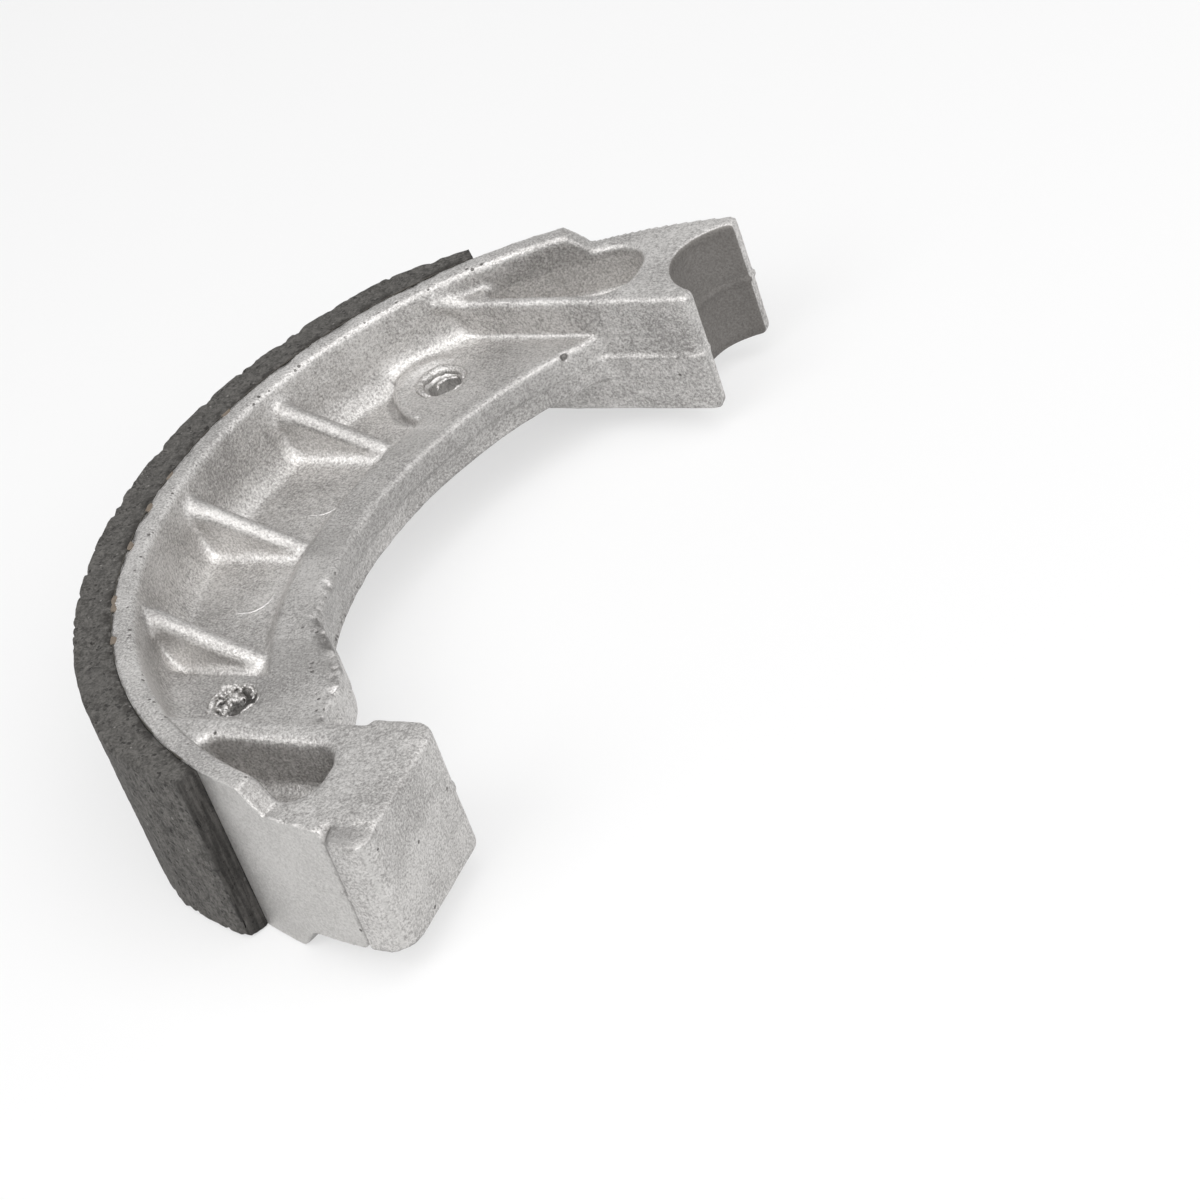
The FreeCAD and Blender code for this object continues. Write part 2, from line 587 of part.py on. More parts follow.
def make_spring_places(body):
    """The raised places round the two spring holes, and the holes."""
    boss_across = anchor_hole[0] + S["boss_across"]
    boss_along = anchor_hole[1] - S["boss_along"]
    boss_right = boss_across + S["boss_radius"]
    boss_left = boss_across - S["boss_radius"]
    wall = anchor_wall + OVERLAP
    sketch = new_sketch(body, "boss_outline", "XY_Plane")
    draw(sketch, [
        (boss_left.number, boss_along), Arc(S["boss_radius"], centre=(boss_across, boss_along)),
        (boss_right.number, boss_along),
        (band_across(band_middle, wall), wall), (boss_left, wall)])
    pad(body, "boss", sketch, S["band_thickness"])
    boss_root_start = ((anchor_wall + S["boss_root_start"]) / rim_inner).turned()
    make_raised_root(body, "boss_root", boss_root_start, S["boss_root_sweep"])
    lobe_right = cam_hole[0].number + 0.725 * S["lobe_radius"].number
    lobe_top = cam_hole[1].number + 0.64 * S["lobe_radius"].number
    start = cam_hole[1] + S["lobe_start"]
    fill = cam_hole[1] + S["lobe_fill"]
    wall = -(cam_wall + OVERLAP)
    reach = rim_inner + OVERLAP
    sketch = new_sketch(body, "lobe_outline", "XY_Plane")
    draw(sketch, [
        (band_across(S["band_radius"], start), start),
        "tangent", (lobe_right, lobe_top), Arc(S["lobe_radius"], turn=-1, centre=cam_hole),
        (lobe_right, wall),
        (-across_circle(reach, wall), wall), Arc(reach, turn=-1),
        (-across_circle(reach, fill), fill),
        (band_across(band_middle, fill), fill),
        (band_across(band_middle, start), start)])
    pad(body, "lobe", sketch, S["band_thickness"])
    lobe_root_end = (-(cam_wall + S["lobe_root_sweep"]) / rim_inner).turned()
    make_raised_root(body, "lobe_root", S["lobe_root_start"], lobe_root_end - S["lobe_root_start"])
    corner = lower_meeting(band_centre, S["band_radius"], cam_hole, S["lobe_radius"])
    dress(body, "Fillet", "lobe_corner", S["lobe_fillet"], 1, lambda p, e: upright(e) and near(
        p, corner.x, corner.y))
    dress(body, "Chamfer", "band_edges", S["band_bevel"], 2, lambda p, e: (
        isinstance(e.Curve, Part.Circle) and abs(e.Curve.Radius - S["band_radius"].number) < 0.01
        and abs(p.z) > band_half.number - 0.01 and p.y > start.number))
    sketch = new_sketch(body, "spring_hole_outline", "XY_Plane")
    draw_circle(sketch, *anchor_hole, S["spring_hole_radius"])
    draw_circle(sketch, *cam_hole, S["spring_hole_radius"])
    cut(body, "spring_holes", sketch, both_ways=True)
    dress(body, "Chamfer", "spring_hole_mouths", S["spring_hole_flare"], 4, lambda p, e: (
        isinstance(e.Curve, Part.Circle) and abs(e.Curve.Radius - S["spring_hole_radius"].number) < 0.01
        and abs(p.z) > band_half.number - 0.01))


def make_ends(body):
    """The seat for the anchor pin, and the shallow bevel beside the face that the cam pushes."""
    sketch = new_sketch(body, "seat_outline", "XY_Plane")
    draw_circle(sketch, -S["seat_across"], seat_along, S["seat_radius"])
    cut(body, "seat", sketch, both_ways=True)
    dress(body, "Chamfer", "seat_edges", S["seat_bevel"], 2, lambda p, e: (
        isinstance(e.Curve, Part.Circle) and abs(e.Curve.Radius - S["seat_radius"].number) < 0.01
        and abs(p.z) > block_half.number - 0.01))
    inside = -(S["cam_face"] + S["cam_bevel_run"])
    outside = OVERLAP - S["cam_face"]
    sketch = new_sketch(body, "cam_bevel_outline", "XZ_Plane")
    for height, drop, over in (
            (block_half, -S["cam_bevel_drop"], OVERLAP), (-block_half, S["cam_bevel_drop"], -OVERLAP)):
        draw(sketch, [
            (inside, height), (outside, height + drop), (outside, height + over), (inside, height + over)])
    cut(body, "cam_bevel", sketch, backwards=True)


casting = doc.addObject("PartDesign::Body", "shoe_casting")
casting.Label = "shoe_casting"
make_band(casting)
make_anchor_block(casting)
make_cam_block(casting)
make_rim(casting)
make_root(casting)
make_ribs(casting)
make_spring_places(casting)
make_ends(casting)


def make_lining(body):
    """The lining, turned round the same axis as the rim that it is bonded to."""
    half = S["lining_width"] / TWO
    sketch = new_sketch(body, "lining_section", "XZ_Plane", turn=QUARTER_TURN + S["lining_start"])
    draw(sketch, [
        (rim_outer, -half), (S["lining_radius"], -half), (S["lining_radius"], half), (rim_outer, half)])
    turn_profile(body, "lining", sketch, S["lining_sweep"])
    ends = dress(body, "Chamfer", "lining_ends", S["lining_bevel_drop"], 2, lambda p, e: upright(e) and (
        math.hypot(p.x, p.y) > S["lining_radius"].number - 0.1))
    ends.ChamferType = "Two distances"
    ends.FlipDirection = True
    ends.setExpression("Size2", S["lining_bevel_run"].formula)


lining = doc.addObject("PartDesign::Body", "friction_lining")
lining.Label = "friction_lining"
make_lining(lining)

doc.recompute()
for thing in doc.Objects:
    if "Invalid" in thing.State or "Error" in thing.State:
        raise ValueError("{}: {}".format(thing.Name, thing.getStatusString()))
os.makedirs("parts", exist_ok=True)
for body in (casting, lining):
    shape = body.Shape
    if shape.isNull() or not shape.isValid() or len(shape.Solids) != 1:
        raise ValueError(body.Label + " is not one sound solid")
    shape.exportStep("parts/{}.step".format(body.Label))
    print(body.Label, round(shape.Volume), shape.BoundBox)
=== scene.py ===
import math
from functools import reduce

import bmesh
import bpy
import numpy as np
from mathutils import Matrix, Vector


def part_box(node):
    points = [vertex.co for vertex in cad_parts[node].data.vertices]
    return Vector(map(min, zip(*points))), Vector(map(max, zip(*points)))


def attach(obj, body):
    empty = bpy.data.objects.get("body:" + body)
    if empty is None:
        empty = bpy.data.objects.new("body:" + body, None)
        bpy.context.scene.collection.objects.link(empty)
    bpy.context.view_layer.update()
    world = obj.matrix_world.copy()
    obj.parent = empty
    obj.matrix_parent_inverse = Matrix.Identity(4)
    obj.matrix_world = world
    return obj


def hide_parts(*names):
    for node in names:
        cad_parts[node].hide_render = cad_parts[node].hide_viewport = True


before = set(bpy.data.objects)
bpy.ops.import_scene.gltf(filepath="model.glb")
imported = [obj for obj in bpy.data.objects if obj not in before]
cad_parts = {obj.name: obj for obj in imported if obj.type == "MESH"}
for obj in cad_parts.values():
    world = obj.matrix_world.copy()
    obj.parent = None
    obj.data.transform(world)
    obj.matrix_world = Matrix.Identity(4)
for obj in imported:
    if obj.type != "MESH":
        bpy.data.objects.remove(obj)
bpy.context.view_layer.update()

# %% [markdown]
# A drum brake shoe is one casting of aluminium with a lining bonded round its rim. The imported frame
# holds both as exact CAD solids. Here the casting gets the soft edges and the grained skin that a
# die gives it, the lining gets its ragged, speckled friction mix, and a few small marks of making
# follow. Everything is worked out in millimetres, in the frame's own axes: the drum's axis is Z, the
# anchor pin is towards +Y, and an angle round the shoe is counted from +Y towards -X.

# A place in plan is (x, y), and the seat has its radius as well. A half is a height over the middle.
MM = 0.001
RIM_OUTER = 60.0
RIM_INNER = 57.1
RIM_HALF = 12.0
BAND_HALF = 3.25
LINING_OUTER = 65.0
LINING_HALF = 11.9
LINING_ANGLES = (38.9, 153.5)
BEVEL_RUN = 12.0
BEVEL_DROP = 2.2
SEAT = (-2.76, 50.3, 7.57)
BAND_CENTRE = (20.8, 0.7)
BAND_INNER = 56.4
ANCHOR_WALL = 40.7
EJECTORS = ((-45.4, 8.1), (-46.2, -11.4))
ANCHOR_HOLE = (-37.9, 30.9)
CAM_HOLE = (-36.5, -32.4)
RAISED_PLACE = (-38.7, 30.6)
NOSE_SIDE = -8.6
FACE_END = -59.2
RIBS = (17.6, -2.6, -23.9)
CREST_SLOPE = 0.478

# %% [markdown]
# The camera is a long lens, rolled to one side, as a photographer tilts a camera to lay a product
# across the frame. Its three axes are written out from azimuth, elevation and roll, which is plainer
# than a track-to constraint followed by a turn.

# %% Camera
def camera_axes(azimuth, elevation, roll):
    """Back is (sin a cos e, -cos a cos e, sin e), right is level, and roll turns right and up about back."""
    a, e, r = (math.radians(v) for v in (azimuth, elevation, roll))
    back = Vector((math.sin(a) * math.cos(e), -math.cos(a) * math.cos(e), math.sin(e)))
    right = Vector((math.cos(a), math.sin(a), 0.0))
    up = back.cross(right)
    return right * math.cos(r) + up * math.sin(r), up * math.cos(r) - right * math.sin(r), back


AZIMUTH, ELEVATION, ROLL = 34.87, 34.59, -20.18
AIM, DISTANCE = (0.97, -8.54, 0.0), 415.3
FOCAL_PIXELS, FRAME_PIXELS = 3522, 1200
right, up, back = camera_axes(AZIMUTH, ELEVATION, ROLL)
camera = bpy.data.objects.new("camera", bpy.data.cameras.new("camera"))
bpy.context.collection.objects.link(camera)
pose = Matrix((right, up, back)).transposed().to_4x4()
pose.translation = Vector(AIM) * MM + back * DISTANCE * MM
camera.matrix_world = pose
camera.data.sensor_width = 36.0
camera.data.lens = camera.data.sensor_width * FOCAL_PIXELS / FRAME_PIXELS
camera.data.clip_start = 0.01
camera.data.clip_end = 20.0
bpy.context.scene.camera = camera
bpy.context.scene.view_settings.view_transform = "Standard"
print("camera", [round(c / MM) for c in camera.matrix_world.translation])

# %% [markdown]
# Shader maths reads best as plain sums, so one small class stands for a socket and turns each
# operator into the node that does it. Other nodes come from one method that sets a node's own
# settings first, and then its sockets.

# %% A socket that takes part in sums
class Wire:
    """An output socket. Its operators add Math nodes and return their outputs."""

    def __init__(self, tree, socket):
        self.tree = tree
        self.socket = socket

    def _math(self, operation, *values):
        return self.tree.add("ShaderNodeMath", {"operation": operation}, dict(enumerate(values)))

    def __add__(self, other):
        return self._math("ADD", self, other)

    def __radd__(self, other):
        return self._math("ADD", other, self)

    def __sub__(self, other):
        return self._math("SUBTRACT", self, other)

    def __rsub__(self, other):
        return self._math("SUBTRACT", other, self)

    def __mul__(self, other):
        return self._math("MULTIPLY", self, other)

    def __rmul__(self, other):
        return self._math("MULTIPLY", other, self)

    def __truediv__(self, other):
        return self._math("DIVIDE", self, other)

    def size(self):
        return self._math("ABSOLUTE", self)

    def root(self):
        return self._math("SQRT", self)

    def most(self, other):
        return self._math("MAXIMUM", self, other)

    def between(self, low, high):
        """0 below low and 1 above high, with a smooth step between. Low may be above high."""
        return self.tree.add(
            "ShaderNodeMapRange", {"interpolation_type": "SMOOTHSTEP"},
            {"Value": self, "From Min": low, "From Max": high, "To Min": 0.0, "To Max": 1.0})


def distance(*legs):
    """The root of the sum of the squares of its legs."""
    first, *others = [leg * leg for leg in legs]
    return sum(others, first).root()


class Nodes:
    """A tree of shader nodes. It starts empty, and its nodes are wired up as they are added."""

    def __init__(self, tree):
        self.nodes = tree.nodes
        self.links = tree.links
        self.nodes.clear()

    def add(self, kind, settings=None, sockets=None, output=0):
        """Adds a node, its settings first and then the values or links of its sockets."""
        node = self.nodes.new(kind)
        for key, setting in (settings or {}).items():
            setattr(node, key, setting)
        self.feed(node, sockets or {})
        return Wire(self, node.outputs[output])

    def feed(self, node, sockets):
        """Gives each named or numbered socket of a node its link or its value."""
        for key, given in sockets.items():
            if isinstance(given, Wire):
                self.links.new(given.socket, node.inputs[key])
            else:
                node.inputs[key].default_value = given


class Finish(Nodes):
    """One material: a Principled shader and the nodes that feed it."""

    def __init__(self, name):
        self.material = bpy.data.materials.new(name)
        self.material.use_nodes = True
        super().__init__(self.material.node_tree)
        self.shader = self.nodes.new("ShaderNodeBsdfPrincipled")
        self.output = self.nodes.new("ShaderNodeOutputMaterial")
        self.links.new(self.shader.outputs[0], self.output.inputs[0])

    def place(self, stretch=(1.0, 1.0, 1.0)):
        """Object coordinates in millimetres, stretched if a pattern runs one way."""
        found = self.add("ShaderNodeTexCoord", output=3)
        scale = [s / MM for s in stretch]
        return self.add("ShaderNodeMapping", None, {"Vector": found, "Scale": scale})

    def axes(self, place):
        """The three numbers in a place."""
        node = self.nodes.new("ShaderNodeSeparateXYZ")
        self.links.new(place.socket, node.inputs[0])
        return [Wire(self, socket) for socket in node.outputs]

    def noise(self, place, size, detail=2.0, rough=0.5):
        """Soft noise from 0 to 1, with lumps about size millimetres across."""
        return self.add("ShaderNodeTexNoise", None, {
            "Vector": place, "Scale": 1.0 / size, "Detail": detail, "Roughness": rough})

    def specks(self, place, cell, radius, share):
        """Round specks in a share of the cells of a Voronoi pattern: 1 in a speck and 0 outside."""
        cells = self.nodes.new("ShaderNodeTexVoronoi")
        self.feed(cells, {"Vector": place, "Scale": 1.0 / cell})
        distance = Wire(self, cells.outputs["Distance"])
        pick = self.axes(Wire(self, cells.outputs["Color"]))[0]
        return distance.between(radius / cell, 0.6 * radius / cell) * pick.between(share, share - 0.02)

    def painted(self, name):
        """The number that a mesh carries at each of its points under this name."""
        return self.add("ShaderNodeAttribute", {"attribute_name": name}, output=2)

    def mix(self, share, first, second):
        """Runs from the first colour to the second as share goes from 0 to 1."""
        sockets = {0: share}
        for slot, given in ((6, first), (7, second)):
            sockets[slot] = given if isinstance(given, Wire) else (*given, 1.0)
        return self.add("ShaderNodeMix", {"data_type": "RGBA"}, sockets, output=2)

    def bump(self, height, depth):
        """A normal from a height of 0 to 1 that stands for depth millimetres."""
        return self.add("ShaderNodeBump", None, {"Height": height, "Strength": 1.0, "Distance": depth * MM})


# %% [markdown]
# Rough edges need the same lumps on every run, so they come from a lattice of repeatable random
# numbers and not from Python's random module.

# %% Lumps in space
def lattice(i, j, k, seed):
    """A repeatable number in -1..1 for whole-number places: the fraction of a large multiple of a sine."""
    mixed = np.sin(i * 127.1 + j * 311.7 + k * 74.7 + seed * 53.9) * 43758.5453
    return 2.0 * (mixed - np.floor(mixed)) - 1.0


def lumps(points, size, seed=0):
    """Smooth noise: the lattice at a point's eight neighbours, blended by 3t^2 - 2t^3 along each axis."""
    scaled = points / size
    low = np.floor(scaled)
    t = scaled - low
    t = t * t * (3.0 - 2.0 * t)
    total = np.zeros(len(points))
    for corner in range(8):
        step = np.array([corner & 1, corner >> 1 & 1, corner >> 2 & 1])
        weight = np.prod(np.where(step, t, 1.0 - t), axis=1)
        total += weight * lattice(*(low + step).T, seed)
    return total


def peaks(points, size, seed, level=0.0):
    """What stands above a level in the lumps, and 0 elsewhere."""
    return np.maximum(0.0, lumps(points, size, seed) - level)


def ramp(values, low, high):
    """0 at low and 1 at high, straight between and level outside. Low may be above high."""
    return np.clip((values - low) / (high - low), 0.0, 1.0)


def paint(mesh, name, values):
    """Gives each point of a mesh a number that a finish can read by its name."""
    mesh.attributes.new(name, "FLOAT", "POINT").data.foreach_set("value", values)


def add_piece(name, mesh, finish, slot, *nodes):
    """Puts a finished mesh in the scene as a piece that rides on the shoe, and hides what it stands for."""
    piece = bpy.data.objects.new(name, mesh)
    bpy.context.collection.objects.link(piece)
    mesh.materials.clear()
    mesh.materials.append(finish.material)
    mesh.polygons.foreach_set("use_smooth", np.ones(len(mesh.polygons), bool))
    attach(piece, "root")
    if nodes:
        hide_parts(*nodes)
    print(name, len(mesh.polygons), "faces")


# %% [markdown]
# The casting's metal is light and slightly warm, with a fine sparkling grain from the die and from
# tumbling. It isn't polished anywhere, so its roughness stays high, and noise at three sizes moves
# colour, roughness and height together. A picture of such a skin would have to be wrapped round every
# fillet, while noise in space lies on all of them alike.

# %% Cast aluminium
CAST_DARK, CAST_PALE = (0.27, 0.260, 0.252), (0.69, 0.675, 0.66)
cast = Finish("cast_aluminium")
place = cast.place()
x, y, z = cast.axes(place)
grain = cast.noise(place, 0.30, detail=3.0, rough=0.72)
coarse = cast.noise(place, 0.85, detail=2.0)
patches = cast.noise(place, 9.0, detail=3.0)
tone = grain * 0.75 + coarse * 0.15 + patches * 0.3
skin = cast.mix(tone.between(0.42, 0.76), CAST_DARK, CAST_PALE)
print("cast aluminium", len(cast.nodes), "nodes so far")

# %% [markdown]
# The rim's outer face is turned on a lathe after casting, so there the grain gives way to fine rings.
# The seat for the pin is coarser, and darker partly as its own surface and partly as painted shade.
# The anchor pocket's floor is painted lighter, as painted light on a floor that its walls shade. Each
# of these places is a mask, a product of ranges in millimetres. A range is 0 at its first number and 1
# at its second, so a mask needs no picture and no painting by hand.

# %% Turned face, anchor pocket and the pin's seat
TURNED_DARK, TURNED_PALE = (0.50, 0.49, 0.475), (0.70, 0.69, 0.675)
POCKET_PAINTED_LIGHT_DARK, POCKET_PAINTED_LIGHT_PALE = (0.55, 0.535, 0.52), (0.95, 0.93, 0.91)
SEAT_TONE_AND_SHADE = (0.13, 0.12, 0.11)
reach = distance(x, y)
rise = z.size()
sparkle = grain.between(0.35, 0.65)
rings = cast.noise(cast.place((0.05, 0.05, 1.0)), 0.35, detail=3.0)
ringed = cast.mix(rings * 0.5 + grain * 0.5, TURNED_DARK, TURNED_PALE)
turned = reach.between(59.80, 59.92) * reach.between(60.3, 60.1)
skin = cast.mix(turned * 0.6, skin, ringed)
# Painted light: the anchor pocket's floor is made lighter where its walls shade it.
hollow = y.between(41.4, 42.4) * rise.between(7.9, 7.0) * reach.between(58.0, 57.4)
skin = cast.mix(hollow * 0.42, skin, cast.mix(sparkle, POCKET_PAINTED_LIGHT_DARK, POCKET_PAINTED_LIGHT_PALE))
# The seat's dark tone is partly its coarse surface and partly painted shade.
in_seat = distance(x - SEAT[0], y - SEAT[1]).between(SEAT[2] + 0.35, SEAT[2] + 0.15)
seat = in_seat * y.between(38.0, 40.0)
skin = cast.mix(seat * 0.80, skin, SEAT_TONE_AND_SHADE)
print("turned face, pocket and seat", len(cast.nodes), "nodes so far")

# %% [markdown]
# A casting shows small dark pits where gas was shut in, most of all along thin edges that crumbled.
# They are round specks, a few everywhere and many along the rim's and the band's edges. The places
# that were chipped come from the mesh itself, which carries a number called worn_and_shade at its
# points. That number also holds painted shade in the crease beside the nose.

# %% Pits and crumbled edges
PIT_TONE = (0.07, 0.065, 0.06)
PIT_CENTRE, PIT_RADII = (-22.3, 36.75, 2.9), (0.85, 0.55, 0.9)
in_pit = distance(*((axis - c) / r for axis, c, r in zip((x, y, z), PIT_CENTRE, PIT_RADII)))
band_reach = distance(x - BAND_CENTRE[0], y - BAND_CENTRE[1])
rim_line = reach.between(57.1, 57.5) * reach.between(58.3, 57.9) * rise.between(11.3, 11.7)
band_line = band_reach.between(55.8, 56.1) * band_reach.between(57.3, 56.8) * rise.between(2.4, 2.8)
band_line = band_line * y.between(10.0, -16.0) * y.between(-39.0, -36.0)
pits = reduce(Wire.most, (
    cast.specks(place, 3.1, 0.28, 0.10),
    cast.specks(place, 0.9, 0.28, 0.60) * rim_line,
    cast.specks(place, 0.8, 0.30, 0.45) * band_line,
    # Chipped edges, and painted shade in the crease beside the nose, as the mesh carries them.
    cast.painted("worn_and_shade") * 0.85,
    in_pit.between(1.15, 0.85)))
skin = cast.mix(pits * 0.8, skin, PIT_TONE)
print("pits", len(cast.nodes), "nodes so far")

# %% [markdown]
# Some places are painted darker or lighter than the rest, as painted shade and painted light: shade at
# the foot of the ridge round the raised place, on the band's side and top, on the slope and in the
# scoop by the cam and over the highlights of the ribs' crests, and light on the ribs' sides. Their
# tones are painted by place too, gently, so that the lamps still do most of the work.

# %% Painted shade and painted light
FOOT_SHADE_TONE, SHADE_TONE, CREST_SHADE_TONE = (0.16, 0.154, 0.15), (0.20, 0.193, 0.187), (0.30, 0.29, 0.28)
RIB_PAINTED_LIGHT_DARK, RIB_PAINTED_LIGHT_PALE = (0.60, 0.585, 0.57), (0.97, 0.955, 0.94)
FOOT_RADIUS = 6.8
# Painted shadow at the ridge's foot, on its shadow side.
ridge_foot_shade = (distance(x - RAISED_PLACE[0], y - RAISED_PLACE[1]) - FOOT_RADIUS).size().between(0.9, 0.2)
ridge_foot_shade = ridge_foot_shade * x.between(-39.0, -41.0) * z.between(3.3, 2.6) * z.between(0.5, 1.0)
skin = cast.mix(ridge_foot_shade * 0.4, skin, FOOT_SHADE_TONE)
# Painted shade on the band's side and top, on the slope by the cam and in the scoop above the nose.
band_side = band_reach.between(57.2, 56.4) * y.between(-25.0, -12.0) * y.between(38.0, 34.0)
band_top_shade = rise.between(3.6, 3.4) * rise.between(2.9, 3.1) * reach.between(51.0, 50.0)
slope_shade = reach.between(56.8, 57.4) * reach.between(59.85, 59.6) * y.between(-44.0, -46.0)
slope_shade = slope_shade * rise.between(8.9, 9.3) * rise.between(11.9, 11.6)
scoop_shade = y.between(-57.2, -58.2) * x.between(-9.4, -8.6) * rise.between(7.3, 7.9)
skin = cast.mix(band_side * 0.3 + band_top_shade * 0.14 + slope_shade * 0.5 + scoop_shade * 0.6, skin, SHADE_TONE)
crest_drop = CREST_SLOPE * (RIM_INNER - reach) + rise
by_rib = reduce(Wire.most, [(y - along).size().between(3.2, 2.4) for along in RIBS])
by_rib = by_rib * reach.between(57.0, 56.0)
# Painted shade that tones down the highlights on the ribs' crests.
crest_shade = by_rib * crest_drop.between(8.8, 9.4) * rise.between(2.4, 3.2)
skin = cast.mix(crest_shade * 0.25, skin, CREST_SHADE_TONE)
# Painted light on the ribs' sides, which their crests shade.
rib_side_light = by_rib * crest_drop.between(9.0, 8.2) * rise.between(1.5, 2.2)
skin = cast.mix(rib_side_light * 0.6, skin, cast.mix(sparkle, RIB_PAINTED_LIGHT_DARK, RIB_PAINTED_LIGHT_PALE))
print("darker and lighter places", len(cast.nodes), "nodes so far")

# %% [markdown]
# Pins push the casting out of its die and leave faint rings on the web. They are too shallow
# for the mesh, so a painted highlight and bump show them, and only on the side where the real ones catch
# light.

# %% Round marks of the ejector pins, and the whole finish
EJECTOR_RADIUS = 3.0
EJECTOR_HIGHLIGHT = (0.80, 0.79, 0.78)


def ejector_mark(across, along):
    """A thin ring round a pin's middle, kept on its lower right, where its painted highlight goes."""
    dx, dy = x - across, y - along
    return (distance(dx, dy) - EJECTOR_RADIUS).size().between(0.24, 0.08) * (dx - dy).between(1.6, 3.0)


ejectors = reduce(Wire.most, [ejector_mark(*pin) for pin in EJECTORS])
ejectors = ejectors * rise.between(2.6, 2.4) * coarse.between(0.34, 0.46)
# Painted highlight on the lit side of the pins' rings.
skin = cast.mix(ejectors * 0.5, skin, EJECTOR_HIGHLIGHT)
height = grain * 0.65 + coarse * 0.5
smooth_height = rings * 0.35 + grain * 0.3
height = height + turned * (smooth_height - height) * 0.6 - pits * 1.2 + ejectors * 0.9
cast.feed(cast.shader, {
    "Base Color": skin,
    "Metallic": 0.86,
    "Roughness": 0.38 + coarse * 0.14 + seat * 0.25 + turned * 0.10,
    "Normal": cast.bump(height, 0.15)})
print("cast aluminium", len(cast.nodes), "nodes")

# %% [markdown]
# The die left more metal in four places than the plain CAD solid has. The corner between rim and web
# is a wide hollow curve that meets the web at a slant, each rib's crest is a full round with a
# thicker head at the rim, a soft ridge stands round the raised place at the anchor hole, and the
# anchor wall's crest runs on up the rim. All are profiles carried along a path, because that keeps
# every section true, and each is a closed solid of its own.

# %% Profiles carried along a path
def tube_faces(rows, ring):
    """Quads between neighbouring rings of points."""
    index = np.arange(rows * ring).reshape(rows, ring)
    here, after = index[:-1], index[1:]
    quads = np.stack((here, np.roll(here, -1, axis=1), np.roll(after, -1, axis=1), after), axis=-1)
    return quads.reshape(-1, 4)


def carried(rings):
    """Points and faces of a closed solid: rings in a row, and each end ring drawn together at its middle."""
    middle = rings.mean(axis=1, keepdims=True) + 0.0 * rings
    rings = np.concatenate((middle[:1], rings, middle[-1:]))
    return rings.reshape(-1, 3), tube_faces(*rings.shape[:2])


def tube(path, radius, ring=12):
    """Circles carried along a path. Each stands square to the path, with one of its axes level."""
    along = np.gradient(path, axis=0)
    along /= np.linalg.norm(along, axis=1)[:, None]
    level = np.cross(along, (0.0, 0.0, 1.0))
    level /= np.linalg.norm(level, axis=1)[:, None]
    rise = np.cross(level, along)
    turn = np.arange(ring)[:, None] * 2 * np.pi / ring
    circle = level[:, None] * np.cos(turn) + rise[:, None] * np.sin(turn)
    return carried(path[:, None] + radius[:, None, None] * circle)


def closed_mesh(name, parts):
    """One mesh of several solids. Their doubles are merged and their faces point outwards."""
    starts = np.cumsum([0] + [len(points) for points, faces in parts])
    points = np.concatenate([points for points, faces in parts]) * MM
    faces = np.concatenate([faces + start for (points, faces), start in zip(parts, starts)])
    mesh = bpy.data.meshes.new(name)
    mesh.from_pydata(points.tolist(), [], faces.tolist())
    work = bmesh.new()
    work.from_mesh(mesh)
    bmesh.ops.remove_doubles(work, verts=work.verts, dist=1e-7)
    bmesh.ops.recalc_face_normals(work, faces=work.faces)
    work.to_mesh(mesh)
    work.free()
    return mesh


# %% Hollow curve, ribs' crests, ridge and wall tip
def rim_hollow(side):
    """An arc that is upright at the rim and slanted at the web, carried round the axis.

    Three more points close its section inside the metal of rim and web.
    """
    radius, middle_reach, middle_height = 7.25, 49.55, 6.4
    in_rim, in_web, in_corner = 58.3, 0.3, 54.8
    arc = np.radians(np.linspace(-43.6, 0.0, 14))
    across = np.append(middle_reach + radius * np.cos(arc), (in_rim, in_rim, in_corner))
    height = np.append(middle_height + radius * np.sin(arc), (middle_height, in_web, in_web))
    turn = np.radians(np.linspace(41.6, 138.5, 160))[:, None]
    path = (-across * np.sin(turn), across * np.cos(turn), side * height + 0.0 * turn)
    return carried(np.stack(path, axis=-1))


def rib_crest(along, side):
    """A round bar just under the crest's line, which falls evenly from the rim to the band."""
    crest_top, thin, thicker_head = 10.03, 1.42, 0.45
    run = np.linspace(0.2, 14.0, 40)
    radius = thin + thicker_head * ramp(run, 3.5, 0.5)
    height = crest_top - CREST_SLOPE * run - 1.1 * radius + 0.02
    wall = -math.sqrt(RIM_INNER ** 2 - along ** 2)
    return tube(np.stack((wall + run, np.full(40, along), side * height), axis=1), radius)


def raised_ridge(side):
    """A soft ridge round the rim side of the raised place at the anchor hole, highest in its middle."""
    thick, stands_out = 1.55, 0.80
    across_radius, along_radius = 4.9, 5.2
    share = np.linspace(0.0, 1.0, 60)
    turn = np.radians(75.0 + 175.0 * share)
    radius = thick * np.sqrt(0.03 + np.sin(np.pi * share))
    height = side * (BAND_HALF + 0.10 + stands_out * np.sin(np.pi * share) - radius)
    across = RAISED_PLACE[0] + across_radius * np.cos(turn)
    along = RAISED_PLACE[1] + along_radius * np.sin(turn)
    return tube(np.stack((across, along, height), axis=1), radius)


def wall_tip(side):
    """The anchor wall's crest, run on towards the rim, where it climbs the rim's inner face."""
    run = np.linspace(0.0, 1.0, 20)
    climb = 1.9 * run * run
    path = np.stack((-36.5 - 5.0 * run, 41.8 - 0.4 * run - climb, side * (7.75 + climb)), axis=1)
    return tube(path, 1.1 - 0.1 * run)


extra = [rim_hollow(side) for side in (1, -1)]
extra += [rib_crest(along, side) for along in RIBS for side in (1, -1)]
extra += [make(side) for make in (raised_ridge, wall_tip) for side in (1, -1)]
extra_metal = closed_mesh("extra_metal", extra)
print("extra metal", len(extra), "solids")

